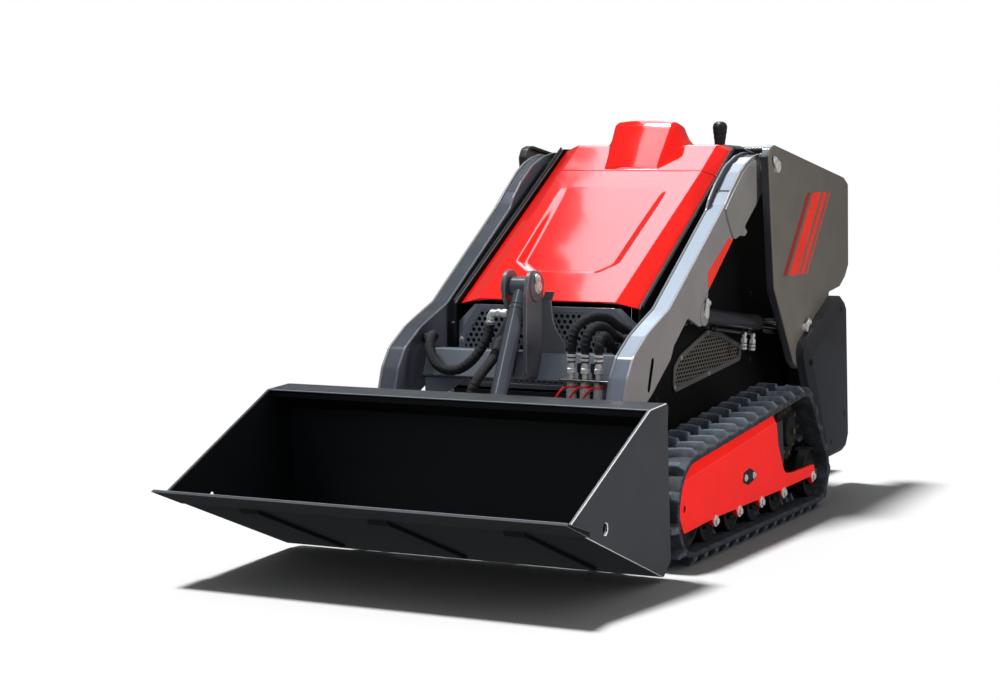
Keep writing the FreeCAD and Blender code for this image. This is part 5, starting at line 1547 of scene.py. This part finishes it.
couplerSet = {
    "across": (206, 248, 290),
    "back": -600,
    "bracket": [(178, -630, 3), (334, -630, 3), (334, -570, 3), (178, -570, 3)],
    "levels": (508, 513),
}


def couplers(across, back, bracket, levels):
    sheet = Shape()
    holes = [ring(x, back, 12.2, 24) for x in across]
    sheet.plate([outline(bracket, 4)] + holes, *levels, upwards, bevel=0.8)
    low = levels[0] - 24
    sheet.plate([np.array([(331, low), (334.5, low), (334.5, low + 25), (331, low + 25)])], back - 28,
                back + 28, frontwards, bevel=0.5)
    sheet.write("couplerBracket", [frameGrey], "arms", "frame_grey", "coupler_bracket", smooth=24)
    shape = Shape()
    up = (0, 0, 1)
    # one groove of the ribbed lower body, repeated nine times
    groove = np.array([(452, 15), (454.2, 15), (454.9, 14), (455.5, 14)])
    ribs = (groove + np.arange(9)[:, None, None] * (4.1, 0)).reshape(-1, 2).tolist()
    for x in across:
        foot = (x, back, 0)
        shape.lathe([(513.2, 9), (530, 9), (531, 12)], foot, up, 24)
        shape.lathe([(529, 13), (530, 14.5), (543, 14.5), (544, 13)], foot, up, 6)
        shape.lathe([(544, 11.5), (553, 11.5), (554, 9.5), (566, 9.5)], foot, up, 24)
        crimps(shape, foot, up, (564, 576), 12.5, 14.2, 7.2, 32)
        shape.lathe([(560, 11.4), (591, 11.6)], foot, up, 24, 1)
        shape.lathe([(494, 13), (495, 14.8), (506.5, 14.8), (507.5, 13)], foot, up, 6)
        shape.lathe([(450, 8), (450, 13.6)] + ribs + [(490, 15), (493, 13), (494, 10)], foot, up, 36)
        # red moulded strap: a flat ring round the body and an arm that ends at a dust plug below it
        turn = np.arange(29) * 2 * np.pi / 28
        loop = np.column_stack([x + 16.4 * np.cos(turn), back + 16.4 * np.sin(turn),
                                491 + 2.5 * np.cos(turn)])
        shape.tube(loop, 2.9, 8, 2)
        t = np.linspace(0, 1, 20)
        strand = np.column_stack([x - 15 - 34 * t, back - 8 - 8 * np.sin(t * 2.6), 490 - 44 * t ** 1.35])
        shape.tube(strand, 3.0, 8, 2)
        shape.lathe([(-16, 11), (-15, 13), (12, 13), (15, 11), (16, 5)], strand[-1] + (-2, 2, -12),
                    (0.3, 0, 1), 24, 3)
    # plain plugs that stand behind the couplers
    for x in (227, 269):
        shape.lathe([(0, 8), (1, 11), (26, 11), (28, 9)], (x, back + 18, 530), up, 24, 3)
        shape.lathe([(-16, 7), (2, 7)], (x, back + 18, 530), up, 20, 3)
    shape.write("quickCouplers", [brightZinc, blackPlastic, strapRed, blackPlastic], "arms", "zinc",
                "quick_couplers", smooth=30)


strapRed = paint("strapRed", (0.90, 0.03, 0.02), 0.36, coat=0.3, grain=0.00002)
couplers(**couplerSet)
finishNode("bucket_pins", zinc)
print("couplers made")

# console, levers, bar, pad, platform and rear panel

consoleSet = {
    "profile": [(560.3, 1198, 3), (700, 1196, 20), (1060, 1140, 30), (1082, 1120, 3), (1082, 1040, 4),
                (940, 1000, 4), (560.3, 1040, 3)],
    "half": 300,
    "gauge": (-70, 228),         # x and distance down the slope of the gauge, the key and the switches
    "key": (90, 228),
    "switches": (-20, 12, 44),
    "lever": (168, 720, 1190),
    "barLeg": (215, 1050, 1142),
}


def console(profile, half, gauge, key, switches, lever, barLeg):
    shape = Shape()
    # the top falls away to both sides as the cowl's does
    loop, rings = turned(outline(profile, 10)), []
    places = np.concatenate([[-half, -half + 2], np.linspace(-half + 8, half - 8, 41), [half - 2, half]])
    for across in places:
        low = inset(loop, 2.5 if abs(across) == half else 0)
        fall = sideFall(across, hoodSet["flat"][1], hoodSet["half"], hoodSet["fall"])
        low[:, 1] -= fall * softStep(low[:, 1], 1030, 1100)
        rings.append(sidewards(low, across))
    shape.loft(rings)
    # an instrument plate, a round gauge with a plain scale, rocker switches, a key switch and boots
    start = np.array(profile[1][:2])
    way, normal = slopeOf(start, profile[2][:2])
    at = lambda across, back, rise: np.array([across, *(start + way * back + normal * rise)])
    out = np.array([0, *normal])

    def slab(across, back, wide, long, high, mark):
        # a block on the sloping top that narrows a little at its upper edge
        low, far = at(across, back, -0.5), at(across, back + long, -0.5)
        side = np.array((wide / 2, 0, 0))
        base = np.array([low - side, low + side, far + side, far - side])
        middle = base.mean(0)
        rings = [base, base + out * (high - 0.5), (base - middle) * 0.97 + middle + out * (high + 0.5)]
        shape.loft(rings, mark)

    slab(0, 175, 250, 110, 2.5, 1)
    shape.lathe([(0, 29), (9, 29), (11, 27), (11, 24), (7, 23)], at(*gauge, 2), out, 48, 2)
    shape.lathe([(0, 23.5), (7.2, 23.5)], at(*gauge, 2), out, 48, 3)
    hand = at(*gauge, 9.6)
    needle = np.array([[-2, 0, 0], [2, 0, 0], [0.6, 0, 0], [-0.6, 0, 0]])
    needle[:, 1:] = np.outer([-3, -3, 17, 17], way)
    shape.loft([hand + needle, hand + needle + out * 0.8], 4)
    for tick in range(9):
        turn = np.radians(-120 + 30 * tick)
        ray = np.array([np.sin(turn), *(np.cos(turn) * way)])
        flat = np.cross(out, ray) * 0.7
        near, far = hand - out * 0.4 + ray * 17, hand - out * 0.4 + ray * 21
        mark = np.array([near - flat, near + flat, far + flat, far - flat])
        shape.loft([mark, mark + out * 0.5], 4)
    for place, across in enumerate(switches):
        slab(across, 200, 20, 42, 5, 2)
        slab(across, 206, 13, 14 + 2 * place, 9, 0)
    shape.lathe([(0, 13), (6, 13), (7, 11), (7, 6), (4, 5)], at(*key, 2), out, 32, 5)
    slab(key[0], key[1] - 9, 3, 18, 18, 5)
    for side in (-1, 1):
        # a ribbed rubber boot round each lever and a collar round each leg of the bar
        boot = [(-20, 34), (1, 34), (2, 31), (3, 32), (4.5, 26), (6, 27), (7.5, 21), (9, 22), (10, 16),
                (12, 14), (14, 9)]
        shape.lathe(boot, np.multiply(lever, (side, 1, 1)), (0, 0, 1), 40, 2)
        shape.lathe([(-14, 20), (0, 20), (3, 17), (10, 15), (10, 12)], np.multiply(barLeg, (side, 1, 1)),
                    (0, 0, 1), 32, 2)
    shape.write("controlPanel", [consoleBlack, blackPlastic, rubber, gaugeFace, gaugeMark, zinc], "chassis",
                "black_plastic", "control_panel", smooth=28)


consoleBlack = paint("consoleBlack", (0.022, 0.022, 0.024), 0.45, grain=0.0003)
gaugeFace = paint("gaugeFace", (0.60, 0.60, 0.58), 0.30, coat=0.6)
gaugeMark = paint("gaugeMark", (0.010, 0.010, 0.012), 0.5)
console(**consoleSet)

leverSet = {
    "across": 168,
    "back": 720,
    "top": 1280,
    "profile": [(-40, 8), (4, 8), (6, 13), (12, 16.5), (20, 17.5), (50, 21.5), (70, 24.5), (80, 24.5),
                (88, 21), (93, 15), (95.5, 8), (96, 0.6)],
}


def levers(across, back, top, profile):
    # a tapered grip with a rounded top on a thin stem; its radius ripples in finger grooves
    line = smoothLine(profile, 90)
    along = line[:, 0]
    line[:, 1] += 0.5 * np.sin(along * 2 * np.pi / 18) * softStep(along, 18, 26) * softStep(76 - along, 0, 8)
    shape = Shape()
    shape.lathe(line, (across, back, top - 96), (0, 0, 1), 40)
    shape.mirror().write("controlLevers", [gripBlack], "chassis", "black_plastic", "control_levers",
                         smooth=50)


gripBlack = paint("gripBlack", (0.020, 0.020, 0.021), 0.42, coat=0.15, grain=0.00005)
levers(*leverSet.values())
finishNode("grab_bar", blackSteel)
print("console made")

# thigh pad

padSet = {
    "half": 192,
    "low": 750,
    "high": 1000,
    "back": (1098.6, 1138),
    "corner": 26,
    "voxel": 0.005,
    "cap": 0.008,           # how far the cloth may swell
    "channels": (-95, 0, 95),
}


def swell(piece, voxel, cap, rest):
    # inflates the closed mesh as cloth and keeps each point within cap of its start and off the panel
    scene = bpy.context.scene
    remesh = piece.modifiers.new("Remesh", "REMESH")
    remesh.mode = "VOXEL"
    remesh.voxel_size = voxel
    result = lambda: piece.evaluated_get(bpy.context.evaluated_depsgraph_get())
    ready = bpy.data.meshes.new_from_object(result())
    piece.modifiers.clear()
    old, piece.data = piece.data, ready
    bpy.data.meshes.remove(old)
    start = pointsOf(ready)
    cloth = piece.modifiers.new("Cloth", "CLOTH")
    cloth.settings.use_pressure = True
    cloth.settings.uniform_pressure_force = 4.0
    cloth.settings.effector_weights.gravity = 0.0
    steps = 20
    cloth.point_cache.frame_start, cloth.point_cache.frame_end = 1, steps
    for step in range(1, steps + 1):
        scene.frame_set(step)
    move = pointsOf(result().to_mesh()) - start
    result().to_mesh_clear()
    piece.modifiers.clear()
    scene.frame_set(1)
    far = np.linalg.norm(move, axis=1, keepdims=True)
    spot = start + move * np.minimum(1, cap / np.maximum(far, 1e-9))
    spot[:, 1] = np.maximum(spot[:, 1], rest)
    return spot


def thighPad(half, low, high, back, corner, voxel, cap, channels):
    # rounded rings stacked from the panel outwards, drawn in again towards the outer face
    shape = Shape()
    loop = roundedBox(-half, half, low, high, corner, 10)
    deep = back[1] - back[0]
    rings = [frontwards(inset(turned(loop), amount), back[0] + deep * share) for share, amount in
             ((0, 7), (0.10, 2), (0.28, 0), (0.62, 0), (0.82, 3), (0.94, 8), (1.0, 15))]
    shape.loft(rings)
    piece = shape.write("thighPad", [vinyl], "chassis", "pad_vinyl", "thigh_pad", smooth=80)
    spot = swell(piece, voxel, cap, back[0] / 1000)
    # sewn channels: a narrow valley along each line, deeper in the middle of the outer face
    front = softStep(spot[:, 1], 1.118, 1.134)
    valley = 0.0045
    for across in channels:
        spot[:, 1] -= valley * np.exp(-((spot[:, 0] - across * mm) / valley) ** 2) * front
    mesh = piece.data
    mesh.vertices.foreach_set("co", spot.ravel())
    mesh.materials.clear()
    mesh.materials.append(vinyl.material)
    mesh.shade_smooth()
    mesh.update()
    smooth = piece.modifiers.new("Subdivision", "SUBSURF")
    smooth.levels = smooth.render_levels = 1


thighPad(*padSet.values())
print("pad made")

# platform tread and rear panel

treadSet = {
    "across": (-262, 262, 11),     # first, last and how many
    "along": (1176, 1496, 7),
    "top": 229,
    "radius": 15,
}


def tread(across, along, top, radius):
    # staggered rows of punched buttons: a ring that rises round a hole
    shape = Shape()
    for row, back in enumerate(np.linspace(*along)):
        places = np.linspace(*across)
        places = places if row % 2 == 0 else (places[1:] + places[:-1]) / 2
        for x in places:
            shape.lathe([(-1, radius), (0.3, radius), (2.2, radius - 5), (2.2, radius - 7), (-1, radius - 8)],
                        (x, back, top), (0, 0, 1), 16)
    # small studs along both sides
    for x in (-283, 283):
        for back in np.linspace(along[0] - 12, along[1] + 8, 14):
            shape.lathe([(-1, 3.5), (1.2, 3.2), (1.8, 2)], (x, back, top), (0, 0, 1), 8)
    shape.write("platformTread", [blackSteel], "platform", "frame_grey", smooth=40)


tread(*treadSet.values())
finishNode("platform", blackSteel)

louvreSet = {
    "half": 170,
    "levels": (470, 660, 8),       # first, last and how many
    "face": 1098,
    "deep": 9,
    "door": (-215, 215, 430, 700),
}


def rearTrim(half, levels, face, deep, door):
    # pressed louvres on a framed door, with a latch, hinges and bolts round the panel's edge
    shape = Shape()
    _, _, low, high = door
    shape.plate([roundedBox(*door, 12, 6)], face - 0.5, face + 3, frontwards, bevel=1)
    t, rows = np.linspace(0, 1, 9), np.linspace(-1, 1, 25)
    pinch = (1 - np.abs(rows) ** 10)[:, None, None]
    for up in np.linspace(*levels):
        lip = np.column_stack([face + 3 + deep * np.sin(t * np.pi / 2) ** 0.8, up + 15 - 15 * t ** 1.6])
        lip = np.vstack([[(face + 2, up + 15)], lip, [(face + deep + 1.5, up - 1)], [(face + 2, up + 12)]])
        shape.loft(np.stack(np.broadcast_arrays(rows[:, None] * half, face + 2 + (lip[:, 0] - face - 2)
                                                * pinch[..., 0], lip[:, 1]), -1))
    for across in (-150, 150):
        shape.lathe([(-18, 7), (18, 7)], (across, face + 8, low - 4), (1, 0, 0), 16, 0)
        shape.lathe([(-22, 4), (22, 4)], (across, face + 8, low - 4), (1, 0, 0), 12, 1)
    shape.lathe([(0, 17), (4, 17), (6, 15), (6, 9)], (0, face + 3, high - 26), (0, 1, 0), 32, 1)
    for across in (-412, -300, 300, 412):
        for up in (180, 420, 700, 960):
            bolt(shape, (across, face, up), (0, 1, 0), 11, 7, 1.6, 1)
    shape.write("rearPanelTrim", [frameGrey, zinc], "chassis", "frame_grey", smooth=34)


rearTrim(*louvreSet.values())
print("platform and rear panel made")

# light, floor and background

lightSet = {
    "skyLevel": 0.145,         # the world's strength on matt surfaces
    "mirrorLow": 0.07,         # and in reflections, at the horizon and overhead
    "mirrorHigh": 0.12,
    "cloud": 2.9,              # a bright bank of cloud in the reflections
    "cloudColour": (0.88, 1.0, 1.10),
    "cloudSide": (-0.4005, -0.22),    # x of the directions where it starts and ends
    "floorColour": (0.88, 0.88, 0.88),
    "floorSize": 14.0,
    "white": (2.0, 5.5),       # distances from the machine over which the floor turns plain white
}


class Sky(Finish):
    # the world's nodes, made in the same way as a material's
    def __init__(self, world):
        world.use_nodes = True
        self.tree = world.node_tree
        self.shader = self.tree.nodes["Background"]


def skyAndFloor(skyLevel, mirrorLow, mirrorHigh, cloud, cloudColour, cloudSide, floorColour, floorSize,
                white):
    world = bpy.data.worlds.new("studio")
    bpy.context.scene.world = world
    sky = Sky(world)
    ray = lambda kind: sky.node("ShaderNodeLightPath", out=kind)
    toward = sky.node("ShaderNodeTexCoord", out="Generated")
    x, y, height = sky.parts(toward)
    # reflections see a grey sky that brightens upwards, with a ragged bank of cloud between two sides
    ragged = (sky.noise(48.0, 6.0, 0.62, vector=toward) - 0.5) * 0.075
    edge = x + ragged + y.ramp(-0.25, 0.30, -0.035, 0.0)
    start, stop = cloudSide
    bank = edge.ramp(start - 0.003, start + 0.003) * x.ramp(stop, stop + 0.08, 1.0, 0.0)
    bank = bank * height.ramp(0.25, 0.50)
    grey = height.ramp(0.02, 0.55, mirrorLow, mirrorHigh)
    mirrored = sky.mix(bank, sky.node("ShaderNodeCombineXYZ", {}, {0: grey, 1: grey, 2: grey}),
                       shade(cloudColour, cloud))
    lit = sky.mix(ray("Is Glossy Ray"), (skyLevel, skyLevel, skyLevel), mirrored)
    sky.put("Color", sky.mix(ray("Is Camera Ray").most(ray("Is Transmission Ray")), lit, (1.0, 1.0, 1.0)))

    half = floorSize / 2
    mesh = bpy.data.meshes.new("floor")
    corners = [(-half, -half, 0), (half, -half, 0), (half, half, 0), (-half, half, 0)]
    mesh.from_pydata(corners, [], [(0, 1, 2, 3)])
    finish = Finish("floorPale", floorColour, 0.75)
    x, y, _ = finish.parts()
    away = ((x * x + y * y) ** 0.5).ramp(*white)
    # plain white far off for the camera, and dark ground in reflections
    seenRay = finish.node("ShaderNodeLightPath", out="Is Camera Ray")
    mirrorRay = finish.node("ShaderNodeLightPath", out="Is Glossy Ray")
    shown = finish.mix(mirrorRay, (1.0, 1.0, 1.0), (0.10, 0.105, 0.115))
    plain = finish.node("ShaderNodeEmission", {}, {"Color": shown})
    mixed = finish.node("ShaderNodeMixShader", {}, {0: (seenRay * away).most(mirrorRay)})
    links = finish.tree.links
    links.new(finish.shader.outputs[0], mixed.socket.node.inputs[1])
    links.new(plain.socket, mixed.socket.node.inputs[2])
    links.new(mixed.socket, finish.tree.nodes["Material Output"].inputs["Surface"])
    mesh.materials.append(finish.material)
    stage = bpy.data.objects.new("floor", mesh)
    bpy.context.scene.collection.objects.link(stage)
    return stage


sunSet = {
    "toward": (0.075, 0.010, -0.253),
    "strength": 3.45,
    "angle": 9,           # degrees that the sun's disc is wide
}


def addSun(toward, strength, angle):
    data = bpy.data.lights.new("key", "SUN")
    data.energy, data.angle = strength, np.radians(angle)
    lamp = bpy.data.objects.new("key", data)
    lamp.rotation_euler = Vector(toward).to_track_quat("-Z", "Y").to_euler()
    bpy.context.scene.collection.objects.link(lamp)


def addLamp(name, place, aim, size, power, colour, receivers):
    # an area lamp that isn't mirrored, so it only lights matt surfaces, and that lights the receivers alone
    data = bpy.data.lights.new(name, "AREA")
    data.shape = "RECTANGLE"
    data.size, data.size_y = size
    data.energy, data.color = power, colour
    lamp = bpy.data.objects.new(name, data)
    back = unit(np.subtract(place, aim).astype(float))
    across = unit(np.cross((0.0, 0.0, 1.0), back))
    lamp.matrix_world = placed(place, across, np.cross(back, across), back)
    lamp.visible_glossy = False
    lamp.light_linking.receiver_collection = receivers
    bpy.context.scene.collection.objects.link(lamp)


floorStage = skyAndFloor(**lightSet)
notFloor = bpy.data.collections.new("lampReceivers")
notFloor.objects.link(floorStage)
notFloor.collection_objects[0].light_linking.link_state = "EXCLUDE"
addSun(**sunSet)
lamps = {
    "front": {"place": (1.2, -5.5, 3.2), "aim": (0, -0.4, 0.5), "size": (3.0, 2.0), "power": 105,
              "colour": (0.88, 0.94, 1.0)},
    "side": {"place": (5.2, -0.6, 2.4), "aim": (0.4, 0, 0.5), "size": (2.2, 2.2), "power": 205,
             "colour": (1.0, 0.95, 0.90)},
}
for name, facts in lamps.items():
    addLamp(name, receivers=notFloor, **facts)
bpy.context.scene.view_settings.view_transform = "Standard"
print("stage and lamps set")
